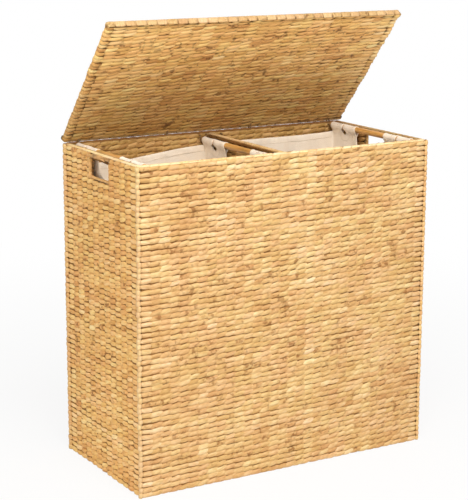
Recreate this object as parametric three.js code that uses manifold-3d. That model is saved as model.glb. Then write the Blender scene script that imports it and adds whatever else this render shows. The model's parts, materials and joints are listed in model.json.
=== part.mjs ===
// Laundry hamper with two bins: a woven box on a welded wire frame, a woven divider, a lid on
// wire links, and two cloth liner bags that hang from wooden rods laid in wire saddles.
// Millimetres, +Z up, front towards -Y, origin at the middle of the underside.

import * as THREE from "three";
import { mergeVertices } from "three/addons/utils/BufferGeometryUtils.js";
import Module from "manifold-3d";

const wasm = await Module();
wasm.setup();

// Body
const bodyWidth = 618;
const bodyDepth = 304;
const bodyHeight = 600;
const wallThickness = 12;
const baseThickness = 12;
const wallCornerRadius = 6;
const rimHeight = 12;
const rimOverhang = 1;
const rimRounding = 3.5;

// Weave
const coursePitch = 9.8;
const courseRelief = 1.6;
const lidCoursePitch = 9;
const lidCourseRelief = 1.4;
const shoulderShare = 0.3;

// Wire frame
const frameWireDiameter = 4;
const frameCornerRadius = 5;
const frontUprightSpacing = 151;
const dividerStakeSpacing = 140;

// Handle holes, one in each side wall
const handleHoleWidth = 76;
const handleHoleHeight = 33;
const handleHoleCornerRadius = 5;
const handleWrapWidth = 8;
const handleWrapRounding = 2;

// Divider between the bins
const dividerThickness = 10;

// Lid
const lidWidth = 624;
const lidDepth = 304;
const lidThickness = 12;
const lidPanelThickness = 10;
const lidEdgeWidth = 16;
const lidEdgeRounding = 3.5;
const lidCornerRadius = 8;
const lidGap = 2;
const lidCrossWireSpacing = 150;
const restAngleDegrees = 49;

// Hinge links
const hingeInset = 28;
const hingeWireDiameter = 3;
const hingeWireRounding = 0.8;
const hingeClearance = 0.5;
const hingeSideClearance = 1;
const hingePlaceShares = [-1, -1 / 3, 1 / 3, 1];

// Rods and the saddles that carry them
const rodDiameter = 11.5;
const rodEndRounding = 1.5;
const rodEndClearance = 2.5;
const rodFromWall = 10.5;
const rodFromRail = 9.5;
const wallRodDrop = 6.5;
const dividerRodDrop = 15;
const saddleWireDiameter = 3;
const saddleFromRodEnd = 2.5;
const saddleBend = 1.5;

// Liner bags
const clothThickness = 2;
const bagFromWall = 8;
const bagFromBase = 3;
const bagCornerRadius = 8;
const mouthDrop = 25;
const gripWidth = 96;
const gripDepth = 46;
const tabSlitWidth = 5;
const tabSlitDepth = 22;
const tabSlitHoleDiameter = 8;
const sideSeamDrop = 62;

// Fits and facets
const fitGap = 0.3;
const cutOverrun = 5;
const weldTolerance = 1e-4;
const wireSides = 6;
const rodSides = 12;
const wallCornerSteps = 1;
const arcSteps = 2;
const loopSteps = 6;
const saddleArcSteps = 6;

// Places worked out from the sizes above
const halfWall = wallThickness / 2;
const rimWidth = wallThickness + 2 * rimOverhang;
const wallLineX = bodyWidth / 2 - rimOverhang - halfWall;
const wallLineY = bodyDepth / 2 - rimOverhang - halfWall;
const innerX = wallLineX - halfWall;
const innerY = wallLineY - halfWall;
const rimBottom = bodyHeight - rimHeight;
const wallHeight = rimBottom - fitGap;
const topWireHeight = bodyHeight - rimHeight / 2;
const bottomWireHeight = baseThickness / 2;
const frameWireRadius = frameWireDiameter / 2;
const handleWireY = handleHoleWidth / 2 + handleWrapWidth / 2;
const handleHoleBottom = rimBottom - handleHoleHeight;
const handleWireHeight = handleHoleBottom - handleWrapWidth / 2;
const hingeY = wallLineY;
const hingeHeight = bodyHeight + lidGap + lidThickness / 2;
const hingeLinkRadius = frameWireRadius + hingeClearance + hingeWireDiameter;
const hingePlaces = hingePlaceShares.map((share) => share * (bodyWidth / 2 - hingeInset));
const rodRadius = rodDiameter / 2;
const rodHalfLength = wallLineY - rimWidth / 2 + rimOverhang - rodEndClearance;
const wallRodX = innerX - rodFromWall;
const dividerRodX = rimWidth / 2 + rodFromRail;
const wallRodHeight = bodyHeight - wallRodDrop;
const dividerRodHeight = bodyHeight - dividerRodDrop;
const bagHalfDepth = innerY - bagFromWall;
const bagFloor = baseThickness + bagFromBase;

// The axes that a drawn section and its sweep take in the part: section x, section y, sweep.
const AXIS = {
  x: new THREE.Vector3(1, 0, 0),
  y: new THREE.Vector3(0, 1, 0),
  z: new THREE.Vector3(0, 0, 1),
};
const sweptAlongX = new THREE.Matrix4().makeBasis(AXIS.y, AXIS.z, AXIS.x);
const sweptAlongY = new THREE.Matrix4().makeBasis(AXIS.z, AXIS.x, AXIS.y);

// A closed geometry as a solid that can be cut and joined.
function solid(geometry) {
  const bare = geometry.clone();
  bare.deleteAttribute("normal");
  bare.deleteAttribute("uv");
  const welded = mergeVertices(bare, weldTolerance);
  const mesh = new wasm.Mesh({
    numProp: 3,
    vertProperties: welded.attributes.position.array,
    triVerts: new Uint32Array(welded.index.array),
  });
  return new wasm.Manifold(mesh);
}

function joined(solids) {
  return solids.reduce((whole, part) => whole.add(part));
}

// A solid as a geometry with flat faces.
function geometryOf(made) {
  const mesh = made.getMesh();
  const geometry = new THREE.BufferGeometry();
  geometry.setAttribute("position", new THREE.BufferAttribute(mesh.vertProperties, 3));
  geometry.setIndex(new THREE.BufferAttribute(mesh.triVerts, 1));
  const faceted = geometry.toNonIndexed();
  faceted.computeVertexNormals();
  return faceted;
}

function block(lowX, highX, lowY, highY, lowZ, highZ) {
  const geometry = new THREE.BoxGeometry(highX - lowX, highY - lowY, highZ - lowZ);
  return solid(geometry.translate((lowX + highX) / 2, (lowY + highY) / 2, (lowZ + highZ) / 2));
}

function roundedOutline(path, halfWidth, halfDepth, radius) {
  const quarter = Math.PI / 2;
  const cornerX = halfWidth - radius;
  const cornerY = halfDepth - radius;
  path.moveTo(halfWidth, -cornerY);
  path.lineTo(halfWidth, cornerY);
  path.absarc(cornerX, cornerY, radius, 0, quarter);
  path.lineTo(-cornerX, halfDepth);
  path.absarc(-cornerX, cornerY, radius, quarter, 2 * quarter);
  path.lineTo(-halfWidth, -cornerY);
  path.absarc(-cornerX, -cornerY, radius, 2 * quarter, 3 * quarter);
  path.lineTo(cornerX, -halfDepth);
  path.absarc(cornerX, -cornerY, radius, 3 * quarter, 4 * quarter);
  return path;
}

// An upright block with a rounded plan.
function roundedBlock(halfWidth, halfDepth, radius, lowZ, highZ, steps = arcSteps) {
  const shape = roundedOutline(new THREE.Shape(), halfWidth, halfDepth, radius);
  const options = { depth: highZ - lowZ, bevelEnabled: false, curveSegments: steps };
  return solid(new THREE.ExtrudeGeometry(shape, options).translate(0, 0, lowZ));
}

// A level ring round a rectangle: a rounded bar of the given width and height on a centre line.
function ringBar(lineX, lineY, cornerRadius, width, height, rounding) {
  const half = width / 2;
  const outer = cornerRadius + half;
  const inner = Math.max(cornerRadius - half, rounding / 2);
  const shape = roundedOutline(new THREE.Shape(), lineX + half, lineY + half, outer);
  shape.holes.push(roundedOutline(new THREE.Path(), lineX - half, lineY - half, inner));
  const geometry = new THREE.ExtrudeGeometry(shape, {
    depth: height - 2 * rounding,
    bevelThickness: rounding,
    bevelSize: rounding,
    bevelOffset: -rounding,
    bevelSegments: 1,
    curveSegments: arcSteps,
  });
  return solid(geometry.translate(0, 0, rounding - height / 2));
}

// A straight bar with the rounded section of the rim, from -halfLength to halfLength along Y.
function roundedBar(halfLength, width, height, rounding) {
  const shape = roundedOutline(new THREE.Shape(), height / 2, width / 2, rounding);
  const options = { depth: 2 * halfLength, bevelEnabled: false, curveSegments: arcSteps };
  const geometry = new THREE.ExtrudeGeometry(shape, options);
  return solid(geometry.translate(0, 0, -halfLength).applyMatrix4(sweptAlongY));
}

function straightWire(from, to, radius) {
  const run = to.clone().sub(from);
  const geometry = new THREE.CylinderGeometry(radius, radius, run.length(), wireSides);
  const turn = new THREE.Quaternion().setFromUnitVectors(AXIS.y, run.clone().normalize());
  geometry.applyQuaternion(turn);
  const middle = from.clone().add(to).multiplyScalar(1 / 2);
  return solid(geometry.translate(middle.x, middle.y, middle.z));
}

// A path through chosen points that a swept wire meets exactly.
class WirePath extends THREE.Curve {
  constructor(points) {
    super();
    this.points = points;
  }

  getUtoTmapping(u) {
    return u;
  }

  getPoint(t, target = new THREE.Vector3()) {
    const last = this.points.length - 1;
    const place = Math.min(Math.max(t, 0), 1) * last;
    const before = Math.min(Math.floor(place), last - 1);
    return target.lerpVectors(this.points[before], this.points[before + 1], place - before);
  }
}

function bentWire(points, radius, sides) {
  const corners = Array.from({ length: sides }, (_, side) => {
    const angle = (2 * Math.PI * side) / sides;
    return new THREE.Vector2(radius * Math.cos(angle), radius * Math.sin(angle));
  });
  return new THREE.ExtrudeGeometry(new THREE.Shape(corners), {
    steps: points.length - 1,
    bevelEnabled: false,
    extrudePath: new WirePath(points),
  });
}

// One woven face: courses stacked along Y, each a crest between two grooves.
function wovenFace(length, thickness, pitch, relief) {
  const courses = Math.max(1, Math.round(length / pitch));
  const step = length / courses;
  const crest = thickness / 2;
  const groove = crest - relief;
  const points = [new THREE.Vector2(groove, 0)];
  for (let course = 0; course < courses; course += 1) {
    const low = course * step;
    points.push(new THREE.Vector2(crest, low + shoulderShare * step));
    points.push(new THREE.Vector2(crest, low + (1 - shoulderShare) * step));
    points.push(new THREE.Vector2(groove, low + step));
  }
  return points;
}

// The section of a panel that shows its courses on both faces.
function wovenSection(length, thickness, pitch, relief) {
  const face = wovenFace(length, thickness, pitch, relief);
  const other = face.map((point) => new THREE.Vector2(-point.x, point.y)).reverse();
  return new THREE.Shape([...face, ...other]);
}

// The section of a wall, woven in full on its outer face and pulled flat on its inner face.
function wallSection(outward) {
  const face = wovenFace(wallHeight, wallThickness, coursePitch, courseRelief);
  const inner = [
    new THREE.Vector2(-wallThickness / 2, wallHeight),
    new THREE.Vector2(-wallThickness / 2, 0),
  ];
  const section = [...face, ...inner];
  if (outward > 0) return new THREE.Shape(section);
  return new THREE.Shape(section.map((point) => new THREE.Vector2(-point.x, point.y)).reverse());
}

// The welded frame of the body, with wires of the given radius: at its own radius it is the
// frame, and a little wider it is the channel that the woven pieces leave for it.
function bodyWires(radius) {
  const point = (x, y, z) => new THREE.Vector3(x, y, z);
  const rounding = radius * (2 - Math.SQRT2);
  const ring = () =>
    ringBar(wallLineX, wallLineY, frameCornerRadius, 2 * radius, 2 * radius, rounding);
  const cornerShift = frameCornerRadius * (1 - Math.SQRT1_2);
  const upright = (x, y) =>
    straightWire(point(x, y, bottomWireHeight), point(x, y, topWireHeight), radius);
  const wires = [
    ring().translate([0, 0, bottomWireHeight]),
    ring().translate([0, 0, topWireHeight]),
    straightWire(
      point(0, -wallLineY, topWireHeight),
      point(0, wallLineY, topWireHeight),
      radius,
    ),
  ];
  for (const sideX of [-1, 1]) {
    for (const sideY of [-1, 1]) {
      wires.push(upright(sideX * (wallLineX - cornerShift), sideY * (wallLineY - cornerShift)));
      wires.push(upright(sideX * frontUprightSpacing, sideY * wallLineY));
      wires.push(upright(sideX * wallLineX, sideY * handleWireY));
    }
    const handleX = sideX * wallLineX;
    wires.push(
      straightWire(
        point(handleX, -handleWireY, handleWireHeight),
        point(handleX, handleWireY, handleWireHeight),
        radius,
      ),
    );
    wires.push(upright(0, sideX * wallLineY));
    wires.push(upright(0, (sideX * dividerStakeSpacing) / 2));
  }
  for (const place of [-frontUprightSpacing, 0, frontUprightSpacing]) {
    wires.push(
      straightWire(
        point(place, -wallLineY, bottomWireHeight),
        point(place, wallLineY, bottomWireHeight),
        radius,
      ),
    );
  }
  return joined(wires);
}

// The lid's frame, closed and level, with the hinge line on the X axis.
function lidWires(radius) {
  const rounding = radius * (2 - Math.SQRT2);
  const lineX = lidWidth / 2 - lidThickness / 2;
  const lineY = lidDepth / 2 - lidThickness / 2;
  const ring = ringBar(lineX, lineY, lidCornerRadius, 2 * radius, 2 * radius, rounding);
  const wires = [ring.translate([0, -lineY, 0])];
  for (const place of [-lidCrossWireSpacing, 0, lidCrossWireSpacing]) {
    const back = new THREE.Vector3(place, 0, 0);
    const front = new THREE.Vector3(place, -2 * lineY, 0);
    wires.push(straightWire(back, front, radius));
  }
  return joined(wires);
}

const bodyChannel = bodyWires(frameWireRadius + fitGap);
const lidChannel = lidWires(frameWireRadius + fitGap);

// The plan of one wall, from mitre to mitre, as a tall block. Side 1 is the right or the back.
function wallRegion(isFrontOrBack, side) {
  const across = fitGap * Math.SQRT1_2;
  const reach = halfWall + cutOverrun;
  const line = isFrontOrBack ? wallLineY : wallLineX;
  const otherLine = isFrontOrBack ? wallLineX : wallLineY;
  const outerHalf = otherLine + reach - across;
  const innerHalf = otherLine - reach - across;
  const corner = (along, out) =>
    isFrontOrBack ? new THREE.Vector2(along, side * out) : new THREE.Vector2(side * out, along);
  const shape = new THREE.Shape([
    corner(-outerHalf, line + reach),
    corner(outerHalf, line + reach),
    corner(innerHalf, line - reach),
    corner(-innerHalf, line - reach),
  ]);
  const options = { depth: wallHeight + 2 * cutOverrun, bevelEnabled: false };
  return solid(new THREE.ExtrudeGeometry(shape, options).translate(0, 0, -cutOverrun));
}

// A wall woven in level courses, with mitred ends and channels for the frame.
function wovenWall(isFrontOrBack, side) {
  const section = wallSection(isFrontOrBack ? side : -side);
  const length = isFrontOrBack ? bodyWidth : bodyDepth;
  const geometry = new THREE.ExtrudeGeometry(section, { depth: length, bevelEnabled: false });
  geometry.translate(0, 0, -length / 2).applyMatrix4(sweptAlongX);
  if (isFrontOrBack) {
    geometry.translate(0, side * wallLineY, 0);
  } else {
    geometry.rotateZ(Math.PI / 2).translate(side * wallLineX, 0, 0);
  }
  const outline = roundedBlock(
    wallLineX + halfWall,
    wallLineY + halfWall,
    wallCornerRadius,
    -cutOverrun,
    bodyHeight,
    wallCornerSteps,
  );
  return solid(geometry)
    .intersect(outline)
    .intersect(wallRegion(isFrontOrBack, side))
    .subtract(bodyChannel);
}

function sideWall(side) {
  const notchHalf = handleHoleWidth / 2 + handleWrapWidth + fitGap;
  const notchBottom = handleHoleBottom - handleWrapWidth - fitGap;
  const inside = side * (innerX - cutOverrun);
  const outside = side * (bodyWidth / 2 + cutOverrun);
  const notch = block(
    Math.min(inside, outside),
    Math.max(inside, outside),
    -notchHalf,
    notchHalf,
    notchBottom,
    bodyHeight,
  );
  return wovenWall(false, side).subtract(notch);
}

// The wrapped edge of a handle hole: two sides and a sill, open at the top under the rim.
function handleWrap(side) {
  const outerHalf = handleHoleWidth / 2 + handleWrapWidth;
  const innerHalf = handleHoleWidth / 2;
  const bottom = handleHoleBottom - handleWrapWidth;
  const radius = handleHoleCornerRadius;
  const shape = new THREE.Shape();
  shape.moveTo(-outerHalf, bottom);
  shape.lineTo(outerHalf, bottom);
  shape.lineTo(outerHalf, wallHeight);
  shape.lineTo(innerHalf, wallHeight);
  shape.lineTo(innerHalf, handleHoleBottom + radius);
  shape.absarc(innerHalf - radius, handleHoleBottom + radius, radius, 0, -Math.PI / 2, true);
  shape.lineTo(radius - innerHalf, handleHoleBottom);
  const turn = -Math.PI / 2;
  shape.absarc(radius - innerHalf, handleHoleBottom + radius, radius, turn, 2 * turn, true);
  shape.lineTo(-innerHalf, wallHeight);
  shape.lineTo(-outerHalf, wallHeight);
  const geometry = new THREE.ExtrudeGeometry(shape, {
    depth: rimWidth - 2 * handleWrapRounding,
    bevelThickness: handleWrapRounding,
    bevelSize: handleWrapRounding,
    bevelOffset: -handleWrapRounding,
    bevelSegments: 1,
    curveSegments: arcSteps,
  });
  geometry.translate(0, 0, handleWrapRounding - rimWidth / 2).applyMatrix4(sweptAlongX);
  return solid(geometry.translate(side * wallLineX, 0, 0)).subtract(bodyChannel);
}

function basePanel() {
  const halfX = innerX - fitGap;
  const halfY = innerY - fitGap;
  return block(-halfX, halfX, -halfY, halfY, 0, baseThickness).subtract(bodyChannel);
}

// The link that holds the lid's back wire over the body's top wire, as a section in Y and Z.
function hingeOutline(path, radius) {
  const low = topWireHeight;
  const high = hingeHeight;
  path.moveTo(hingeY + radius, low);
  path.lineTo(hingeY + radius, high);
  path.absarc(hingeY, high, radius, 0, Math.PI);
  path.lineTo(hingeY - radius, low);
  path.absarc(hingeY, low, radius, Math.PI, 2 * Math.PI);
  return path;
}

function hingeLink(place) {
  const shape = hingeOutline(new THREE.Shape(), hingeLinkRadius);
  shape.holes.push(hingeOutline(new THREE.Path(), hingeLinkRadius - hingeWireDiameter));
  const geometry = new THREE.ExtrudeGeometry(shape, {
    depth: hingeWireDiameter - 2 * hingeWireRounding,
    bevelThickness: hingeWireRounding,
    bevelSize: hingeWireRounding,
    bevelOffset: -hingeWireRounding,
    bevelSegments: 1,
    curveSegments: arcSteps,
  });
  geometry.translate(0, 0, hingeWireRounding - hingeWireDiameter / 2);
  return solid(geometry.applyMatrix4(sweptAlongX).translate(place, 0, 0));
}

// A saddle for the end of one rod: both legs run into the rim and meet the top wire.
function rodSaddle(rodX, rodHeight, sideY, wireRadius, legOverrun) {
  const radius = rodRadius + fitGap + saddleWireDiameter / 2;
  const hangY = sideY * (rodHalfLength - saddleFromRodEnd);
  const legY = sideY * (wallLineY - frameWireRadius - fitGap + legOverrun);
  const legHeight = topWireHeight;
  const armTop = legHeight - saddleBend;
  const half = (side) => {
    const x = rodX + side * radius;
    const leg = [
      new THREE.Vector3(x, legY, legHeight),
      new THREE.Vector3(x, hangY + sideY * saddleBend, legHeight),
    ];
    if (armTop > rodHeight + saddleBend) leg.push(new THREE.Vector3(x, hangY, armTop));
    return leg;
  };
  const arc = Array.from({ length: saddleArcSteps + 1 }, (_, step) => {
    const angle = Math.PI * (1 - step / saddleArcSteps);
    const rise = radius * Math.sin(angle);
    return new THREE.Vector3(rodX + radius * Math.cos(angle), hangY, rodHeight - rise);
  });
  const points = [...half(-1), ...arc, ...half(1).reverse()];
  return bentWire(points, wireRadius, wireSides);
}

const rodPlaces = [
  { name: "left_bag_wall_rod", x: -wallRodX, height: wallRodHeight },
  { name: "left_bag_divider_rod", x: -dividerRodX, height: dividerRodHeight },
  { name: "right_bag_divider_rod", x: dividerRodX, height: dividerRodHeight },
  { name: "right_bag_wall_rod", x: wallRodX, height: wallRodHeight },
];
const rodEnds = [
  { name: "front", sideY: -1 },
  { name: "back", sideY: 1 },
];

// The slot under the rim that takes the top wire and the ends of the uprights.
function rimSlot() {
  const half = frameWireRadius + fitGap;
  const low = rimBottom - cutOverrun;
  const high = topWireHeight + half;
  const outer = roundedBlock(
    wallLineX + half,
    wallLineY + half,
    frameCornerRadius + half,
    low,
    high,
  );
  const inner = roundedBlock(
    wallLineX - half,
    wallLineY - half,
    frameCornerRadius - half,
    low - cutOverrun,
    high + cutOverrun,
  );
  const railHalf = wallLineY;
  return outer.subtract(inner).add(block(-half, half, -railHalf, railHalf, low, high));
}

function rimWrap() {
  const bar = ringBar(
    wallLineX,
    wallLineY,
    frameCornerRadius,
    rimWidth,
    rimHeight,
    rimRounding,
  );
  let wrap = bar.translate([0, 0, topWireHeight]).subtract(rimSlot());
  const slotHalf = hingeLinkRadius + fitGap;
  const slotSide = hingeWireDiameter / 2 + fitGap;
  for (const place of hingePlaces) {
    const slot = block(
      place - slotSide,
      place + slotSide,
      hingeY - slotHalf,
      hingeY + slotHalf,
      rimBottom - cutOverrun,
      bodyHeight + cutOverrun,
    );
    wrap = wrap.subtract(slot);
  }
  for (const rod of rodPlaces) {
    for (const end of rodEnds) {
      const widened = saddleWireDiameter / 2 + fitGap;
      wrap = wrap.subtract(solid(rodSaddle(rod.x, rod.height, end.sideY, widened, fitGap)));
    }
  }
  return wrap;
}

function dividerRailWrap() {
  const halfLength = wallLineY - rimWidth / 2 - fitGap;
  const bar = roundedBar(halfLength, rimWidth, rimHeight, rimRounding);
  return bar.translate([0, 0, topWireHeight]).subtract(bodyChannel);
}

function dividerPanel() {
  const bottom = baseThickness + fitGap;
  const halfLength = innerY - fitGap;
  const section = wovenSection(wallHeight - bottom, dividerThickness, coursePitch, courseRelief);
  const options = { depth: 2 * halfLength, bevelEnabled: false };
  const geometry = new THREE.ExtrudeGeometry(section, options);
  geometry.translate(0, 0, -halfLength).applyMatrix4(sweptAlongX).rotateZ(Math.PI / 2);
  return solid(geometry.translate(0, 0, bottom)).subtract(bodyChannel);
}

// Rods with slightly rounded ends, turned about their own line along Y.
function rod() {
  const short = rodHalfLength - rodEndRounding;
  const narrow = rodRadius - rodEndRounding;
  const profile = [
    new THREE.Vector2(0, -rodHalfLength),
    new THREE.Vector2(narrow, -rodHalfLength),
    new THREE.Vector2(rodRadius, -short),
    new THREE.Vector2(rodRadius, short),
    new THREE.Vector2(narrow, rodHalfLength),
    new THREE.Vector2(0, rodHalfLength),
  ];
  return new THREE.LatheGeometry(profile, rodSides);
}

// One side of a liner bag, drawn in Y and Z: two pairs of tabs with a scoop for the hand between
// them, and a slit with a round foot between the tabs of a pair.
function bagSide(rodX, rodHeight) {
  const loopInner = rodRadius + fitGap;
  const tabTop = rodHeight - loopInner - clothThickness / 2;
  const seam = bodyHeight - sideSeamDrop;
  const slitFoot = rodHeight - tabSlitDepth;
  const gripHalf = gripWidth / 2;
  const tabWidth = (bagHalfDepth - gripHalf - tabSlitWidth) / 2;
  const shape = new THREE.Shape();
  shape.moveTo(-bagHalfDepth, seam);
  shape.lineTo(bagHalfDepth, seam);
  shape.lineTo(bagHalfDepth, tabTop);
  shape.lineTo(gripHalf + tabWidth + tabSlitWidth, tabTop);
  shape.lineTo(gripHalf + tabWidth + tabSlitWidth, slitFoot);
  shape.lineTo(gripHalf + tabWidth, slitFoot);
  shape.lineTo(gripHalf + tabWidth, tabTop);
  shape.lineTo(gripHalf, tabTop);
  const scoopDepth = tabTop - (rodHeight - gripDepth);
  shape.absellipse(0, tabTop, gripHalf, scoopDepth, 0, -Math.PI, true);
  shape.lineTo(-gripHalf - tabWidth, tabTop);
  shape.lineTo(-gripHalf - tabWidth, slitFoot);
  shape.lineTo(-gripHalf - tabWidth - tabSlitWidth, slitFoot);
  shape.lineTo(-gripHalf - tabWidth - tabSlitWidth, tabTop);
  shape.lineTo(-bagHalfDepth, tabTop);
  const sheetOptions = { depth: clothThickness, bevelEnabled: false, curveSegments: loopSteps };
  const sheet = new THREE.ExtrudeGeometry(shape, sheetOptions);
  sheet.translate(0, 0, -clothThickness / 2).applyMatrix4(sweptAlongX);
  let side = solid(sheet.translate(rodX, 0, 0));
  const tabMiddles = [
    gripHalf + tabWidth / 2,
    gripHalf + tabWidth + tabSlitWidth + tabWidth / 2,
  ];
  for (const direction of [-1, 1]) {
    for (const middle of tabMiddles) {
      side = side.add(tabLoop(rodX, direction * middle, rodHeight, tabWidth));
    }
    const holeY = direction * (gripHalf + tabWidth + tabSlitWidth / 2);
    const holeRadius = tabSlitHoleDiameter / 2;
    const hole = straightWire(
      new THREE.Vector3(rodX - cutOverrun, holeY, slitFoot),
      new THREE.Vector3(rodX + cutOverrun, holeY, slitFoot),
      holeRadius,
    );
    side = side.subtract(hole);
  }
  return side;
}

// The loop of cloth that passes over a rod.
function tabLoop(rodX, middleY, rodHeight, tabWidth) {
  const loopInner = rodRadius + fitGap;
  const shape = new THREE.Shape().absarc(0, 0, loopInner + clothThickness, 0, 2 * Math.PI);
  shape.holes.push(new THREE.Path().absarc(0, 0, loopInner, 0, 2 * Math.PI));
  const options = { depth: tabWidth, bevelEnabled: false, curveSegments: loopSteps };
  const geometry = new THREE.ExtrudeGeometry(shape, options);
  geometry.translate(0, 0, -tabWidth / 2).applyMatrix4(sweptAlongY);
  return solid(geometry.translate(rodX, middleY, rodHeight));
}

// A bag hung between two rods, open at the top. Its front and back edges hang at the mouth.
function linerBag(side) {
  const wallX = side * wallRodX;
  const dividerX = side * dividerRodX;
  const middleX = (wallX + dividerX) / 2;
  const halfWidth = (wallRodX - dividerRodX) / 2 + clothThickness / 2;
  const mouth = bodyHeight - mouthDrop;
  const seam = bodyHeight - sideSeamDrop;
  const outer = roundedBlock(halfWidth, bagHalfDepth, bagCornerRadius, bagFloor, mouth);
  const inner = roundedBlock(
    halfWidth - clothThickness,
    bagHalfDepth - clothThickness,
    bagCornerRadius - clothThickness,
    bagFloor + clothThickness,
    mouth + cutOverrun,
  );
  const sideHalf = bagHalfDepth - bagCornerRadius;
  const sideSlots = block(
    -halfWidth - cutOverrun,
    halfWidth + cutOverrun,
    -sideHalf,
    sideHalf,
    seam + clothThickness,
    mouth + cutOverrun,
  );
  const sack = outer.subtract(inner).subtract(sideSlots).translate([middleX, 0, 0]);
  const wallSide = bagSide(wallX, wallRodHeight);
  const dividerSide = bagSide(dividerX, dividerRodHeight);
  return joined([sack, wallSide, dividerSide]);
}

// The lid's woven panel, with its courses along the hinge line.
function lidPanel() {
  const border = lidEdgeWidth + fitGap;
  const panelDepth = lidDepth - 2 * border;
  const panelWidth = lidWidth - 2 * border;
  const section = wovenSection(panelDepth, lidPanelThickness, lidCoursePitch, lidCourseRelief);
  const options = { depth: panelWidth, bevelEnabled: false };
  const geometry = new THREE.ExtrudeGeometry(section, options);
  geometry.translate(0, -panelDepth / 2, -panelWidth / 2).rotateZ(Math.PI / 2);
  geometry.applyMatrix4(sweptAlongX);
  const outline = roundedBlock(
    panelWidth / 2,
    panelDepth / 2,
    lidEdgeRounding,
    -lidThickness,
    lidThickness,
  );
  const middle = lidThickness / 2 - lidDepth / 2;
  return solid(geometry).intersect(outline).translate([0, middle, 0]).subtract(lidChannel);
}

// The lid's wrapped edge, notched where each hinge link goes round the back wire.
function lidEdgeWrap() {
  const half = lidEdgeWidth / 2;
  const lineX = lidWidth / 2 - half;
  const lineY = lidDepth / 2 - half;
  const corner = lidCornerRadius + lidThickness / 2 - half;
  const bar = ringBar(lineX, lineY, corner, lidEdgeWidth, lidThickness, lidEdgeRounding);
  const middle = lidThickness / 2 - lidDepth / 2;
  let wrap = bar.translate([0, middle, 0]).subtract(lidChannel);
  const notchSide = hingeWireDiameter / 2 + hingeSideClearance;
  for (const place of hingePlaces) {
    const notch = block(
      place - notchSide,
      place + notchSide,
      -hingeLinkRadius - hingeClearance,
      lidThickness / 2 + cutOverrun,
      -lidThickness,
      lidThickness,
    );
    wrap = wrap.subtract(notch);
  }
  return wrap;
}

// Colours and surfaces
const straw = new THREE.MeshStandardMaterial({ color: 0xd8b274, roughness: 0.85, metalness: 0 });
const wrappedStraw = new THREE.MeshStandardMaterial({
  color: 0xe2c48c,
  roughness: 0.8,
  metalness: 0,
});
const wireSteel = new THREE.MeshStandardMaterial({
  color: 0x6f6a60,
  roughness: 0.45,
  metalness: 0.9,
});
const bamboo = new THREE.MeshStandardMaterial({ color: 0xc58f4b, roughness: 0.5, metalness: 0 });
const cotton = new THREE.MeshStandardMaterial({ color: 0xe7dac6, roughness: 0.95, metalness: 0 });

const hamper = new THREE.Group();
hamper.name = "laundry_hamper";

function addMesh(group, name, geometry, material) {
  const mesh = new THREE.Mesh(geometry, material.clone());
  mesh.name = name;
  group.add(mesh);
  return mesh;
}

// Body
addMesh(hamper, "body_frame", geometryOf(bodyWires(frameWireRadius)), wireSteel);
addMesh(hamper, "front_wall", geometryOf(wovenWall(true, -1)), straw);
addMesh(hamper, "back_wall", geometryOf(wovenWall(true, 1)), straw);
addMesh(hamper, "left_wall", geometryOf(sideWall(-1)), straw);
addMesh(hamper, "right_wall", geometryOf(sideWall(1)), straw);
addMesh(hamper, "base_panel", geometryOf(basePanel()), straw);
addMesh(hamper, "rim_wrap", geometryOf(rimWrap()), wrappedStraw);
addMesh(hamper, "left_handle_wrap", geometryOf(handleWrap(-1)), wrappedStraw);
addMesh(hamper, "right_handle_wrap", geometryOf(handleWrap(1)), wrappedStraw);
addMesh(hamper, "divider_panel", geometryOf(dividerPanel()), straw);
addMesh(hamper, "divider_rail_wrap", geometryOf(dividerRailWrap()), wrappedStraw);
hingePlaces.forEach((place, index) => {
  addMesh(hamper, `hinge_link_${index + 1}`, geometryOf(hingeLink(place)), wireSteel);
});

// Rods, saddles and bags
for (const place of rodPlaces) {
  const mesh = addMesh(hamper, place.name, rod(), bamboo);
  mesh.position.set(place.x, 0, place.height);
  for (const end of rodEnds) {
    const name = `${place.name.replace("_rod", "")}_saddle_${end.name}`;
    const wireRadius = saddleWireDiameter / 2;
    const saddle = rodSaddle(place.x, place.height, end.sideY, wireRadius, 0);
    addMesh(hamper, name, saddle, wireSteel);
  }
}
addMesh(hamper, "left_liner_bag", geometryOf(linerBag(-1)), cotton);
addMesh(hamper, "right_liner_bag", geometryOf(linerBag(1)), cotton);

// Lid, open at its rest angle about the hinge line
const lid = new THREE.Group();
lid.position.set(0, hingeY, hingeHeight);
lid.rotation.x = -THREE.MathUtils.degToRad(restAngleDegrees);
addMesh(lid, "lid_frame", geometryOf(lidWires(frameWireRadius)), wireSteel);
addMesh(lid, "lid_panel", geometryOf(lidPanel()), straw);
addMesh(lid, "lid_edge_wrap", geometryOf(lidEdgeWrap()), wrappedStraw);
hamper.add(lid);

export default hamper;
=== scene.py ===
"""Looks of a woven laundry hamper with two bins, an open lid and two hanging cloth bags.

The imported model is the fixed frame. Everything here is in metres, in that frame: +Z up, the front
towards -Y, and the origin at the middle of the underside.
"""

from __future__ import annotations

import json
import logging
import math
from collections.abc import Callable, Iterable, Sequence
from dataclasses import dataclass, field, replace
from enum import Enum
from typing import Any

import bmesh
import bpy
import numpy as np
from mathutils import Matrix, Vector
from mathutils.geometry import delaunay_2d_cdt

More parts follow.
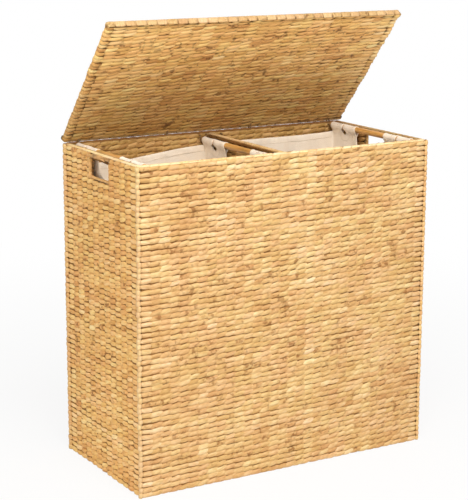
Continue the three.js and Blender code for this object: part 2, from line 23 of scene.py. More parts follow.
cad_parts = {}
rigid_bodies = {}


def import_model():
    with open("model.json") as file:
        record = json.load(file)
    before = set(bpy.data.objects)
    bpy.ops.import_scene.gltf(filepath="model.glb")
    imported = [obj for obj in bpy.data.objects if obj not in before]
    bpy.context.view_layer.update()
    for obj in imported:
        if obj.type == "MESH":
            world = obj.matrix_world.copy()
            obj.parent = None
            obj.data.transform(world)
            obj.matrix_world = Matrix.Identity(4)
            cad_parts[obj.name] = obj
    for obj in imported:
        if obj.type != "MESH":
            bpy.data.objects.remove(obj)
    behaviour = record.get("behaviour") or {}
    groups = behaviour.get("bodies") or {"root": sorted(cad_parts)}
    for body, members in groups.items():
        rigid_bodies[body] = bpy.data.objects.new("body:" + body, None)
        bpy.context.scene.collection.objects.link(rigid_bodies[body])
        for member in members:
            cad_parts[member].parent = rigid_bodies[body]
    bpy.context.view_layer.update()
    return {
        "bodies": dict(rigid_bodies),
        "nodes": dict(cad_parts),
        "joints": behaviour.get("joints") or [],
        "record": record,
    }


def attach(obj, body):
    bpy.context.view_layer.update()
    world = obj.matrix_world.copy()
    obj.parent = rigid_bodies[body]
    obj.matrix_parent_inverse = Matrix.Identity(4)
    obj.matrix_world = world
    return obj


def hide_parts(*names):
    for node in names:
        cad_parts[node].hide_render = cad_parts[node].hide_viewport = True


LOG = logging.getLogger("hamper")
TAU = 2 * math.pi
FAR = 9.0  # metres, off every piece
UP = Vector((0, 0, 1))
Mesh, Material, Object = bpy.types.Mesh, bpy.types.Material, bpy.types.Object
Colour = tuple[float, float, float]
Shade = tuple[int, int, int]


def linear(shade: Shade) -> Colour:
    """The linear colour of a shade written in sRGB from 0 to 255."""
    shares = (part / 255 for part in shade)
    return tuple(s / 12.92 if s <= 0.04045 else ((s + 0.055) / 1.055) ** 2.4 for s in shares)


# Node trees


Operator = Callable[["Sock", Any], "Sock"]


def math_pair(operation: str) -> tuple[Operator, Operator]:
    """A Python operator that adds a Math node, and the same one reflected."""
    return (
        lambda self, other: self.math(operation, self, other),
        lambda self, other: self.math(operation, other, self),
    )


@dataclass
class Sock:
    """An output socket that takes part in Python expressions."""

    nodes: Nodes
    socket: bpy.types.NodeSocket

    def math(self, operation: str, first: Any, second: Any = 0.0) -> Sock:
        """One Math node on two values."""
        return self.nodes.add("ShaderNodeMath", {"operation": operation}, {0: first, 1: second})

    __add__, __radd__ = math_pair("ADD")
    __sub__, __rsub__ = math_pair("SUBTRACT")
    __mul__, __rmul__ = math_pair("MULTIPLY")
    __truediv__, __rtruediv__ = math_pair("DIVIDE")
    __mod__, __rmod__ = math_pair("FLOORED_MODULO")
    __gt__, __lt__ = math_pair("GREATER_THAN")

    def rounded(self) -> Sock:
        """The nearest whole number."""
        return self.math("ROUND", self)

    def size(self) -> Sock:
        """The number without its sign."""
        return self.math("ABSOLUTE", self)

    def other(self, name: str) -> Sock:
        """Another output of the same node."""
        return Sock(self.nodes, self.socket.node.outputs[name])


class Nodes:
    """A node tree while it is being made."""

    def __init__(self, tree: bpy.types.NodeTree) -> None:
        """Starts an empty tree."""
        self.tree = tree
        tree.nodes.clear()

    def add(
        self,
        kind: str,
        settings: dict[str, Any] | None = None,
        inputs: dict[str | int, Any] | None = None,
        out: str | int = 0,
    ) -> Sock:
        """Adds a node, with its settings first and then its inputs.

        Args:
            kind: The node's type.
            settings: Its properties by name; "stops" are a ramp's places and colours.
            inputs: Values or sockets by input name or number.
            out: The output that comes back.

        Returns:
            The chosen output.
        """
        node = self.tree.nodes.new(kind)
        for name, value in (settings or {}).items():
            if name == "stops":
                self._set_stops(node.color_ramp, value)
            else:
                setattr(node, name, value)
        for key, value in (inputs or {}).items():
            self._feed(self._input(node, key), value)
        outputs = [socket for socket in node.outputs if socket.enabled] or list(node.outputs)
        if not outputs:
            return Sock(self, node.inputs[0])
        return Sock(self, outputs[out] if isinstance(out, int) else node.outputs[out])

    @staticmethod
    def _input(node: bpy.types.Node, key: str | int) -> bpy.types.NodeSocket:
        """The node's input of that number, or the one in use of that name."""
        if isinstance(key, int):
            return node.inputs[key]
        return next(socket for socket in node.inputs if socket.name == key and socket.enabled)

    def _feed(self, socket: bpy.types.NodeSocket, value: Any) -> None:
        """Links a socket or sets a value."""
        if isinstance(value, Sock):
            self.tree.links.new(value.socket, socket)
        else:
            socket.default_value = value

    @staticmethod
    def _set_stops(ramp: bpy.types.ColorRamp, stops: Sequence[tuple[float, Colour]]) -> None:
        """Gives a ramp its stops.

        Args:
            ramp: The ramp of a new node.
            stops: A place and a colour for each.
        """
        while len(ramp.elements) < len(stops):
            ramp.elements.new(1.0)
        for element, (place, colour) in zip(ramp.elements, stops):
            element.position = place
            element.color = (*colour, 1.0)

    def vector(self, x: Any, y: Any, z: Any) -> Sock:
        """A vector of three values."""
        return self.add("ShaderNodeCombineXYZ", None, {0: x, 1: y, 2: z})

    def parts(self, vector: Sock) -> tuple[Sock, Sock, Sock]:
        """The three values of a vector."""
        split = self.add("ShaderNodeSeparateXYZ", None, {0: vector})
        return split, split.other("Y"), split.other("Z")

    def move(self, operation: str, first: Any, second: Any) -> Sock:
        """Vector Math on two vectors."""
        return self.add("ShaderNodeVectorMath", {"operation": operation}, {0: first, 1: second})

    def scaled(self, vector: Sock, scale: Any) -> Sock:
        """A vector times a number."""
        settings = {"operation": "SCALE"}
        return self.add("ShaderNodeVectorMath", settings, {0: vector, "Scale": scale})

    def noise(self, vector: Any, scale: float = 1.0, detail: float = 2.0, rough: float = 0.5) -> Sock:
        """Noise from 0 to 1 at a place."""
        inputs = {"Vector": vector, "Scale": scale, "Detail": detail, "Roughness": rough}
        return self.add("ShaderNodeTexNoise", None, inputs)

    def fit(self, value: Sock, low: float, high: float, to: tuple[float, float] = (0, 1)) -> Sock:
        """A value from one range in another, held at its ends."""
        inputs = {1: low, 2: high, 3: to[0], 4: to[1], 0: value}
        return self.add("ShaderNodeMapRange", {"interpolation_type": "SMOOTHSTEP"}, inputs)

    def mix(self, factor: Any, first: Any, second: Any, blend: str = "MIX") -> Sock:
        """Two colours mixed."""
        as_colour = [value if isinstance(value, Sock) else (*value, 1.0) for value in (first, second)]
        settings = {"data_type": "RGBA", "blend_type": blend}
        return self.add("ShaderNodeMix", settings, {0: factor, 6: as_colour[0], 7: as_colour[1]})


class Shader(Nodes):
    """A surface material while it is being made."""

    def __init__(self, name: str) -> None:
        """Starts a material of that name."""
        self.material = bpy.data.materials.new(name)
        self.material.use_nodes = True
        super().__init__(self.material.node_tree)

    def attribute(self, name: str, out: str = "Fac") -> Sock:
        """A named attribute of the piece."""
        return self.add("ShaderNodeAttribute", {"attribute_name": name}, None, out)

    def place(self) -> Sock:
        """The place on the object, in metres."""
        return self.add("ShaderNodeTexCoord", None, None, "Object")

    def bump(self, height: Sock, strength: float, distance: float) -> Sock:
        """A normal raised by a height."""
        inputs = {"Strength": strength, "Distance": distance, "Height": height}
        return self.add("ShaderNodeBump", None, inputs)

    def surface(self, **inputs: Any) -> Material:
        """Finishes the material with a Principled surface.

        Args:
            inputs: Sockets and values, with "_" for a space in a name.

        Returns:
            The finished material.
        """
        named = {name.replace("_", " "): value for name, value in inputs.items()}
        for name in ("Base Color", "Sheen Tint"):
            if name in named and not isinstance(named[name], Sock):
                named[name] = (*named[name], 1.0)
        principled = self.add("ShaderNodeBsdfPrincipled", None, named)
        self.add("ShaderNodeOutputMaterial", None, {"Surface": principled})
        return self.material


# Finishes


@dataclass(frozen=True)
class PaintedShade:
    """A painted shade that comes in from one place to another along an axis of the piece: darker where
    less light reaches.
    """

    axis: int
    start: float
    end: float
    tint: Colour

    def share(self, shader: Shader) -> Sock:
        """How far the painted shade has come in."""
        at = shader.parts(shader.place())[self.axis]
        share = shader.fit(at, min(self.start, self.end), max(self.start, self.end))
        return 1.0 - share if self.start > self.end else share

    def over(self, shader: Shader, colour: Sock) -> Sock:
        """The colour with the painted shade over it."""
        return shader.mix(self.share(shader), colour, self.tint, "MULTIPLY")


@dataclass(frozen=True)
class InnerPaintedShade(PaintedShade):
    """A painted shade on the inner half of the side rims and on the back rim, which lie in shade; it
    stays off the front rim.
    """

    front: float = -0.141
    soft: float = 0.006

    def share(self, shader: Shader) -> Sock:
        """How far the painted shade has come in."""
        parts = shader.parts(shader.place())
        inner = 1.0 - shader.fit(parts[self.axis].size(), self.end, self.start)
        return inner * shader.fit(parts[1], self.front, self.front + self.soft)


@dataclass(frozen=True)
class StrawFinish:
    """Dried plant stems: fibres along each strand, strands of several tones, painted shade in the
    hollows.
    """

    name: str
    tones: tuple[tuple[float, Shade], ...]
    # The next two colours are painted shade for the grooves and the stitch ends, the second in random
    # patches where it is deeper; the stain is the stems' own dark spots.
    hollow_shade: Shade
    deep_shade: Shade
    stain: Shade
    golden: Colour = (0.99, 1.03, 0.9)
    blush: Colour = (1.0, 0.9, 0.98)
    hue_share: float = 0.55
    stain_share: float = 0.8
    painted_shade: PaintedShade | None = None
    inner_painted_shade: PaintedShade | None = None
    fibre_along: float = 3.0
    fibre_across: float = 26.0
    fold_along: float = 1.6
    fold_across: float = 7.0
    patch: float = 9.0
    spots: float = 62.0
    gaps: tuple[float, float, float] = (34.0, 34.0, 110.0)
    deep_shade_noise: tuple[float, float, float] = (26.0, 26.0, 90.0)
    weights: tuple[float, float, float, float] = (0.5, 0.22, 0.34, 0.6)
    darker: float = 0.33
    # How far up the strand the painted shade of the grooves reaches, and how much noise breaks it up.
    shade_reach: float = 0.55
    broken: float = 0.9
    roughness: float = 0.62

    def material(self) -> Material:
        """Builds the material."""
        shader = Shader(self.name)
        tone = shader.attribute("tone")
        rise = shader.attribute("rise")
        along, across, _ = shader.parts(shader.attribute("strand", "Vector"))
        place = shader.place()
        grain = shader.vector(along * self.fibre_along, across * self.fibre_across, tone * 57.0)
        fibre = shader.noise(grain, detail=3.0, rough=0.6)
        crease = shader.vector(along * self.fold_along, across * self.fold_across, tone * 23.0)
        fold = shader.noise(shader.move("ADD", crease, shader.scaled(place, 40.0)), detail=1.0)
        patch = shader.noise(place, self.patch, detail=3.0, rough=0.55)
        own, patchy, fibrous, folded = self.weights
        mixed = tone * own + patch * patchy + fibre * fibrous + fold * folded - self.darker
        stops = [(place, linear(shade)) for place, shade in self.tones]
        colour = shader.add("ShaderNodeValToRGB", {"stops": stops}, {0: mixed})
        hue = shader.noise(shader.move("ADD", place, (3.1, 1.7, 0.4)), 17.0)
        own_hue = shader.noise(shader.vector(tone * 61.0, 0.0, 0.0), detail=0.0)
        turn = shader.fit(hue * 0.35 + own_hue * 0.65, 0.38, 0.62)
        hued = shader.mix(turn, self.golden, self.blush)
        colour = shader.mix(self.hue_share, colour, hued, "MULTIPLY")
        spots = shader.noise(place, self.spots, rough=0.7)
        stain = shader.fit(spots, 0.57, 0.71) * shader.fit(tone, 0.85, 0.25) * self.stain_share
        colour = shader.mix(stain, colour, linear(self.stain))
        # Painted shade: where the rise is low, in the grooves between courses and at the stitch ends,
        # the colour goes to the painted shade colours, deeper in patches and broken up by noise.
        gap = shader.noise(shader.move("MULTIPLY", place, self.gaps), detail=1.0)
        reach = rise + fibre * 0.16 - gap * self.broken + self.broken * 0.5 - 0.08
        depth = shader.fit(reach, 0.0, self.shade_reach)
        deep_shade_noise = shader.noise(shader.move("MULTIPLY", place, self.deep_shade_noise))
        deep_shade_share = shader.fit(deep_shade_noise, 0.46, 0.64)
        hollow_shade = shader.mix(deep_shade_share, linear(self.hollow_shade), linear(self.deep_shade))
        colour = shader.mix(depth, hollow_shade, colour)
        # Painted shade along an axis of the piece, where the finish has one.
        for painted_shade in (self.painted_shade, self.inner_painted_shade):
            colour = painted_shade.over(shader, colour) if painted_shade else colour
        return shader.surface(
            Base_Color=colour,
            Roughness=fibre * 0.16 + self.roughness - 0.08,
            Normal=shader.bump(fibre * 0.3 + fold * 0.7, strength=0.7, distance=0.0012),
            Specular_IOR_Level=0.35,
        )


@dataclass(frozen=True)
class BackingFinish:
    """The inside of the weave, seen only between strands, in a dark brown that is painted shade."""

    name: str
    shade: Shade
    shaded: float = 0.45
    mottling: float = 140.0
    roughness: float = 0.75

    def material(self) -> Material:
        """Builds the material."""
        shader = Shader(self.name)
        mottle = shader.noise(shader.place(), self.mottling, detail=3.0)
        colour = linear(self.shade)
        dark = tuple(self.shaded * part for part in colour)
        return shader.surface(
            Base_Color=shader.mix(mottle, colour, dark),
            Roughness=mottle * 0.2 + self.roughness,
            Normal=shader.bump(mottle, strength=0.4, distance=0.001),
        )


@dataclass(frozen=True)
class BambooFinish:
    """A smooth bamboo rod with long fibres and weathered olive patches."""

    name: str
    pale: Shade
    deep: Shade
    olive: Shade
    fibre_along: float = 14.0
    fibre_across: float = 900.0
    patch: float = 26.0
    roughness: float = 0.34

    def material(self) -> Material:
        """Builds the material."""
        shader = Shader(self.name)
        x, y, z = shader.parts(shader.place())
        across = self.fibre_across
        grain = shader.vector(x * across, y * self.fibre_along, z * across)
        streak = shader.noise(grain, detail=3.0, rough=0.6)
        patch = shader.noise(shader.place(), self.patch)
        aged = shader.fit(patch, 0.5, 0.75) * 0.55
        colour = shader.mix(shader.fit(streak, 0.3, 0.72), linear(self.deep), linear(self.pale))
        return shader.surface(
            Base_Color=shader.mix(aged, colour, linear(self.olive)),
            Roughness=streak * 0.2 + self.roughness,
            Normal=shader.bump(streak, strength=0.2, distance=0.0003),
            Coat_Weight=patch * 0.2,
            Coat_Roughness=0.3,
        )


@dataclass(frozen=True)
class WireFinish:
    """Painted steel wire, dulled and chipped."""

    name: str
    paint: Shade
    worn: Shade
    chipping: float = 210.0
    roughness: float = 0.3

    def material(self) -> Material:
        """Builds the material."""
        shader = Shader(self.name)
        wear = shader.noise(shader.place(), self.chipping, detail=4.0, rough=0.65)
        chips = shader.fit(wear, 0.56, 0.66)
        return shader.surface(
            Base_Color=shader.mix(chips, linear(self.paint), linear(self.worn)),
            Metallic=chips * 0.8,
            Roughness=wear * 0.3 + self.roughness,
            Normal=shader.bump(wear, strength=0.25, distance=0.0002),
        )


@dataclass(frozen=True)
class ClothFinish:
    """Plain cotton with its weave and hems on the cloth's own map, in metres."""

    name: str
    cloth: Shade
    shade: Shade
    threads_per_metre: float = 1150.0
    hem: float = 0.012
    hem_step: float = 0.0008
    slub: tuple[float, float] = (60.0, 420.0)
    patch: float = 11.0
    roughness: float = 0.83

    def material(self) -> Material:
        """Builds the material."""
        shader = Shader(self.name)
        across, along, _ = shader.parts(shader.attribute("cloth_map", "Vector"))
        turns = TAU * self.threads_per_metre
        warp, weft = (run.math("SINE", run * turns) for run in (across, along))
        uneven = shader.vector(across * self.slub[0], along * self.slub[1], 0.0)
        slub = shader.noise(uneven, detail=3.0, rough=0.6)
        patch = shader.noise(shader.place(), self.patch, detail=3.0)
        weave = warp * weft * 0.5 + 0.5
        pale = shader.fit(weave * 0.25 + slub * 0.4 + patch * 0.35, 0.25, 0.7)
        edge = shader.attribute("edge")
        doubled = shader.fit(edge, self.hem + self.hem_step, self.hem - self.hem_step)
        height = weave * 0.15 + slub * 0.15 + doubled * 0.9
        return shader.surface(
            Base_Color=shader.mix(pale, linear(self.shade), linear(self.cloth)),
            Roughness=slub * 0.1 + self.roughness,
            Normal=shader.bump(height, strength=0.6, distance=0.0012),
            Sheen_Weight=0.15,
            Sheen_Roughness=0.6,
        )


WALL_STRAW = StrawFinish(
    "wall_straw",
    tones=(
        (0.0, (172, 124, 68)), (0.25, (197, 151, 93)), (0.45, (213, 172, 114)), (0.65, (226, 192, 138)),
        (0.9, (240, 218, 173)),
    ),
    hollow_shade=(158, 112, 54), deep_shade=(108, 68, 24), stain=(140, 90, 40),
    shade_reach=0.66,
    broken=1.2,
)
SIDE_STRAW = StrawFinish(
    "side_straw",
    # A more orange copy of the wall straw: painted for how the light falls on the side walls.
    tones=(
        (0.0, (188, 129, 64)), (0.25, (214, 158, 89)), (0.45, (234, 184, 112)), (0.65, (246, 206, 138)),
        (0.9, (254, 228, 174)),
    ),
    hollow_shade=(170, 120, 58), deep_shade=(100, 60, 18), stain=(138, 86, 36),
    shade_reach=0.68,
    broken=1.25,
)
INNER_STRAW = StrawFinish(
    "inner_straw",
    # A darker copy of the wall straw: painted shade for the faces inside the hamper.
    tones=(
        (0.0, (132, 92, 44)), (0.25, (166, 124, 66)), (0.45, (190, 148, 86)), (0.65, (208, 168, 106)),
        (0.9, (224, 190, 130)),
    ),
    hollow_shade=(132, 88, 42), deep_shade=(78, 48, 20), stain=(110, 66, 30),
)
CORNER_STRAW = StrawFinish(
    "corner_straw",
    tones=(
        (0.0, (206, 162, 105)), (0.4, (220, 182, 128)), (0.8, (232, 202, 152)),
    ),
    hollow_shade=(216, 168, 104), deep_shade=(170, 118, 60), stain=(208, 158, 100),
    shade_reach=0.4,
)
EDGE_STRAW = StrawFinish(
    "edge_straw",
    tones=(
        (0.0, (194, 146, 88)), (0.4, (216, 172, 112)), (0.8, (232, 196, 140)),
    ),
    hollow_shade=(164, 118, 60), deep_shade=(110, 70, 28), stain=(150, 100, 50),
)
LID_STRAW = StrawFinish(
    "lid_straw",
    tones=(
        (0.0, (166, 112, 54)), (0.25, (212, 158, 90)), (0.45, (240, 190, 117)), (0.65, (252, 212, 141)),
        (0.88, (255, 232, 172)),
    ),
    hollow_shade=(138, 92, 42), deep_shade=(76, 46, 16), stain=(104, 62, 26),
    shade_reach=0.72,
    broken=1.25,
    # Painted shade: the lid darkens towards the hinge, where the body shades it.
    painted_shade=PaintedShade(2, 0.81, 0.62, (0.62, 0.58, 0.5)),
)
BINDING_STRAW = StrawFinish(
    "binding_straw",
    tones=(
        (0.0, (172, 130, 80)), (0.35, (196, 156, 102)), (0.6, (214, 178, 126)), (0.9, (232, 202, 154)),
    ),
    hollow_shade=(150, 106, 56), deep_shade=(104, 68, 28), stain=(120, 74, 34),
    # Painted shade: darker towards the hinge, as on the lid's weave.
    painted_shade=PaintedShade(2, 0.81, 0.62, (0.7, 0.66, 0.58)),
)
RIM_STRAW = StrawFinish(
    "rim_straw",
    # The pale tones are partly the wrap's own light straw and partly a painted highlight from the
    # strong light above.
    tones=(
        (0.0, (222, 178, 114)), (0.3, (238, 202, 142)), (0.55, (248, 220, 168)),
        (0.85, (253, 236, 196)),
    ),
    hollow_shade=(200, 154, 92), deep_shade=(150, 102, 50), stain=(206, 158, 98),
    fibre_across=14.0,
    shade_reach=0.4,
    roughness=0.55,
    # Painted shade on the back rim under the lid and on the inner side of the rims.
    painted_shade=PaintedShade(1, 0.118, 0.142, (0.6, 0.42, 0.27)),
    inner_painted_shade=InnerPaintedShade(0, 0.3050, 0.3010, (0.5, 0.42, 0.3)),
)
LIP_STRAW = StrawFinish(
    "lip_straw",
    # Tones darkened as painted shade on the jambs of the handle holes.
    tones=(
        (0.0, (172, 122, 66)), (0.3, (200, 150, 88)), (0.6, (222, 176, 112)), (0.9, (238, 200, 140)),
    ),
    hollow_shade=(160, 112, 58), deep_shade=(116, 74, 32), stain=(176, 124, 66),
    fibre_across=14.0,
    shade_reach=0.4,
)
RAIL_STRAW = StrawFinish(
    "rail_straw",
    tones=(
        (0.0, (176, 136, 84)), (0.3, (200, 162, 108)), (0.6, (222, 188, 134)), (0.9, (240, 214, 166)),
    ),
    hollow_shade=(140, 92, 40), deep_shade=(96, 60, 24), stain=(130, 84, 36),
    fibre_across=14.0,
    # Painted shade: the rail darkens below a thin top edge, on its shaded sides.
    painted_shade=PaintedShade(2, 0.5966, 0.5936, (0.5, 0.36, 0.2)),
)
# Dark browns that stand for the shade between strands, darker for the divider and the base.
BACKING = BackingFinish("weave_backing", (156, 108, 52))
INNER_BACKING = BackingFinish("inner_backing", (110, 72, 34))
FRAME_WIRE = WireFinish("frame_wire", (120, 96, 62), (150, 136, 112))
LINK_WIRE = WireFinish("link_wire", (120, 88, 50), (150, 128, 92))
BAMBOO = BambooFinish("bamboo", (232, 182, 108), (192, 134, 64), (142, 120, 62))
COTTON = ClothFinish("cotton", (255, 243, 226), (248, 232, 211))
THREAD = ClothFinish("thread", (252, 236, 216), (236, 216, 192), 2600.0)


# Meshes


class Slot(Enum):
    """The record's material slots of the pieces that are made here."""

    WOVEN = "woven_straw"
    WRAPPED = "wrapped_straw"
    ROD = "rod_wood"
    CLOTH = "liner_cloth"


def store(
    mesh: Mesh, name: str, values: np.ndarray, kind: str = "FLOAT", key: str = "value"
) -> None:
    """Stores a value for each point of a mesh."""
    layer = mesh.attributes.new(name, kind, "POINT")
    layer.data.foreach_set(key, values.astype(np.float32).ravel())


@dataclass
class MeshData:
    """Points and faces with the values that the finishes read."""

    points: np.ndarray
    faces: list[tuple[int, ...]]
    # Per point, the mask of painted shade: 1 on crests, 0 in the hollows.
    rise: np.ndarray | None = None
    strand: np.ndarray | None = None
    smooth: bool = True

    def mesh(self, name: str, material: Material | None = None) -> Mesh:
        """Makes the mesh.

        Args:
            name: The mesh's name.
            material: Its finish, if it has one already.

        Returns:
            A mesh with point attributes "rise" and "strand" where they are given.
        """
        mesh = bpy.data.meshes.new(name)
        mesh.from_pydata(self.points.tolist(), [], self.faces)
        if self.rise is not None:
            store(mesh, "rise", self.rise)
        if self.strand is not None:
            store(mesh, "strand", self.strand, "FLOAT_VECTOR", "vector")
        mesh.polygons.foreach_set("use_smooth", [self.smooth] * len(mesh.polygons))
        if material:
            mesh.materials.append(material)
        mesh.update()
        return mesh


def piece(name: str, mesh: Mesh) -> Object:
    """An object at the origin that shows a mesh."""
    obj = bpy.data.objects.new(name, mesh)
    bpy.context.scene.collection.objects.link(obj)
    return obj


def declare(made: Object, body: str, slot: Slot, nodes: Sequence[str] = ()) -> None:
    """Says which body a piece rides on and which nodes it stands for.

    Args:
        made: The piece.
        body: The body's name in the record.
        slot: Its material slot; not used.
        nodes: The solids that it takes the place of, if any.
    """
    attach(made, body)
    if nodes:
        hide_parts(*nodes)
    LOG.info("%s: %d faces", made.name, len(made.data.polygons))


def rework(mesh: Mesh, change: Callable[[bmesh.types.BMesh], None]) -> None:
    """Changes the faces of a mesh with a function.

    Args:
        mesh: The mesh.
        change: Takes the mesh while it can be edited.
    """
    work = bmesh.new()
    work.from_mesh(mesh)
    change(work)
    work.to_mesh(mesh)
    work.free()


def fix_normals(mesh: Mesh) -> None:
    """Turns the faces outward."""
    rework(mesh, lambda work: bmesh.ops.recalc_face_normals(work, faces=work.faces))


def reshape(mesh: Mesh, change: Callable[..., None], *values: Any) -> None:
    """Changes a mesh with a function that takes the array of its points and some values.

    Args:
        mesh: The mesh.
        change: Moves the points in place.
        values: What it takes beside them.
    """
    points = np.empty((len(mesh.vertices), 3), np.float32)
    mesh.vertices.foreach_get("co", points.ravel())
    change(points, *values)
    mesh.vertices.foreach_set("co", points.ravel())
    mesh.update()


def lofted(rings: np.ndarray) -> list[tuple[int, ...]]:
    """The faces between rings of points, with both ends capped.

    Args:
        rings: Points as an array of rings, points in a ring, and three values.

    Returns:
        The faces by point numbers.
    """
    count, sides = rings.shape[:2]
    faces: list[tuple[int, ...]] = []
    for low in range(0, (count - 1) * sides, sides):
        for side in range(sides):
            after = (side + 1) % sides
            faces.append((low + side, low + after, low + sides + after, low + sides + side))
    last = (count - 1) * sides
    return [*faces, tuple(range(sides))[::-1], tuple(range(last, last + sides))]


def joined(name: str, meshes: Iterable[Mesh]) -> Mesh:
    """One mesh of several, with their attributes and materials.

    Args:
        name: Its name.
        meshes: At least one mesh, used up here.

    Returns:
        The mesh.
    """
    parts = [piece(f"{name}_part", mesh) for mesh in meshes]
    if len(parts) > 1:
        with bpy.context.temp_override(
            active_object=parts[0], object=parts[0], selected_editable_objects=parts
        ):
            bpy.ops.object.join()
    mesh = parts[0].data
    bpy.data.objects.remove(parts[0])
    mesh.name = name
    return mesh


def evaluated_mesh(obj: Object, name: str) -> Mesh:
    """The plain mesh that an object's modifiers give, under a name of its own.

    Args:
        obj: The object.
        name: The name of the mesh.

    Returns:
        The new mesh.
    """
    bpy.context.view_layer.update()
    depsgraph = bpy.context.evaluated_depsgraph_get()
    mesh = bpy.data.meshes.new_from_object(
        obj.evaluated_get(depsgraph), preserve_all_data_layers=True, depsgraph=depsgraph
    )
    mesh.name = name
    return mesh


# Strands


@dataclass(frozen=True)
class Stitch:
    """One stitch of the weave: a strand that comes up, leans over a stake and dives again."""

    length: float
    height: float
    thickness: float
    lean: float
    dive: float
    rings: int = 7
    taper: float = 0.6
    # How far painted shade darkens the stitch towards its ends.
    end_shade: float = 0.8
    section: tuple[float, ...] = (-100, -45, 0, 45, 100, 180)
    taper_power: float = 2.4
    thinning: float = 0.45
    dive_power: float = 2.2
    crest_power: float = 0.7

    def shaped(self, place: Callable[[float, float, float], Sequence[float]]) -> MeshData:
        """Builds the closed strand, with its line laid by a function.

        Args:
            place: Takes a place along the stitch from -1 to 1, a height and an outward distance,
                and gives a point.

        Returns:
            The stitch.
        """
        points, rise, strand = [], [], []
        for t in np.linspace(-1, 1, self.rings):
            narrow = 1 - self.taper * abs(t) ** self.taper_power
            thin = 1 - self.thinning * abs(t) ** 2
            dive = self.dive * abs(t) ** self.dive_power
            climb = math.sin(t * math.pi / 2) * self.lean / 2
            for angle in np.radians(self.section):
                up = math.sin(angle) * narrow * self.height / 2 + climb
                out = math.cos(angle) * thin * self.thickness / 2 - dive
                points.append(place(t, up, out))
                # rise is the mask of painted shade: 1 on the crest, 0 on the sides turned away and at
                # the back, lower towards the ends.
                crest = max(0.0, math.cos(angle)) ** self.crest_power
                rise.append(crest * (1 - self.end_shade * abs(t) ** 3))
                strand.append((t / 2, angle / TAU, 0.0))
        rings = np.array(points).reshape(self.rings, len(self.section), 3)
        return MeshData(np.array(points), lofted(rings), np.array(rise), np.array(strand))

    def flat(self) -> MeshData:
        """The stitch on a flat weave: X along, Y up, Z out of the weave."""
        return self.shaped(lambda t, up, out: (t * self.length / 2, up, out))

    def turned(self, radius: float, turn: float, shift: float = 0.0) -> MeshData:
        """The stitch bent round an upright edge at the origin.

        Args:
            radius: From the edge's axis to the middle of the strand.
            turn: How far it turns, in radians, centred on +Z.
            shift: How far its middle lies along it from the middle of the bend.

        Returns:
            The stitch: it runs from -X to +X over +Z, with Y up.
        """
        arc = radius * turn
        tail = (self.length - arc) / 2 - abs(shift)

        def place(t: float, up: float, out: float) -> Sequence[float]:
            """A point by its place on the bent line."""
            run = t * self.length / 2 + shift
            bent = max(-arc / 2, min(arc / 2, run))
            angle = bent / radius
            rest = run - bent
            x = (radius + out) * math.sin(angle) + rest * math.cos(angle)
            z = (radius + out) * math.cos(angle) - rest * math.sin(angle)
            return (x, up, z)

        if tail < 0:
            raise ValueError("the stitch is shorter than its bend")
        return self.shaped(place)


@dataclass(frozen=True)
class Wrap:
    """One turn of a strand wrapped round a bar: a short swollen ring with slanted edges."""

    pitch: float
    width: float
    height: float
    rounding: float
    swell: float = 0.0009
    slant: float = 0.009
    sides: int = 12
    rings: int = 5
    overlap: float = 1.04
    squareness: float = 3.0
    sink: float = 0.6
    # How much of the painted shade between turns reaches their upper side; the underside gets all of
    # it.
    upper_shade: float = 0.35

    def section(self) -> list[tuple[float, float]]:
        """The rounded section, as points and in order."""
        half_w, half_h = self.width / 2, self.height / 2
        outline = []
        for step in range(self.sides):
            angle = TAU * (step + 0.5) / self.sides
            x, y = math.cos(angle), math.sin(angle)
            power = 2 + self.squareness * (1 - self.rounding / min(half_w, half_h))
            reach = (abs(x) ** power + abs(y) ** power) ** (-1 / power)
            outline.append((x * reach * half_w, y * reach * half_h))
        return outline

    def shape(self) -> MeshData:
        """Builds the turn: X along the bar, Y across it and Z up."""
        points, rise, strand = [], [], []
        outline = self.section()
        for t in np.linspace(-1, 1, self.rings):
            full = 1 - abs(t) ** 3
            for index, (y, z) in enumerate(outline):
                reach = math.hypot(y, z)
                grow = (reach + self.swell * full - self.swell * self.sink) / reach
                x = t * self.pitch * self.overlap / 2 + self.slant * z / self.height
                points.append((x, y * grow, z * grow))
                # Painted shade: rise drops between turns, and more on their undersides, which face away
                # from the light above.
                under = 0.5 - z / self.height
                shade = self.upper_shade + (1 - self.upper_shade) * under
                rise.append(1 - (1 - full) * shade)
                strand.append((index / self.sides * 2.0, t * 0.5, 0.0))
        rings = np.array(points).reshape(self.rings, self.sides, 3)
        faces = [face[::-1] for face in lofted(rings)]
        return MeshData(np.array(points), faces, np.array(rise), np.array(strand))


# Geometry Nodes


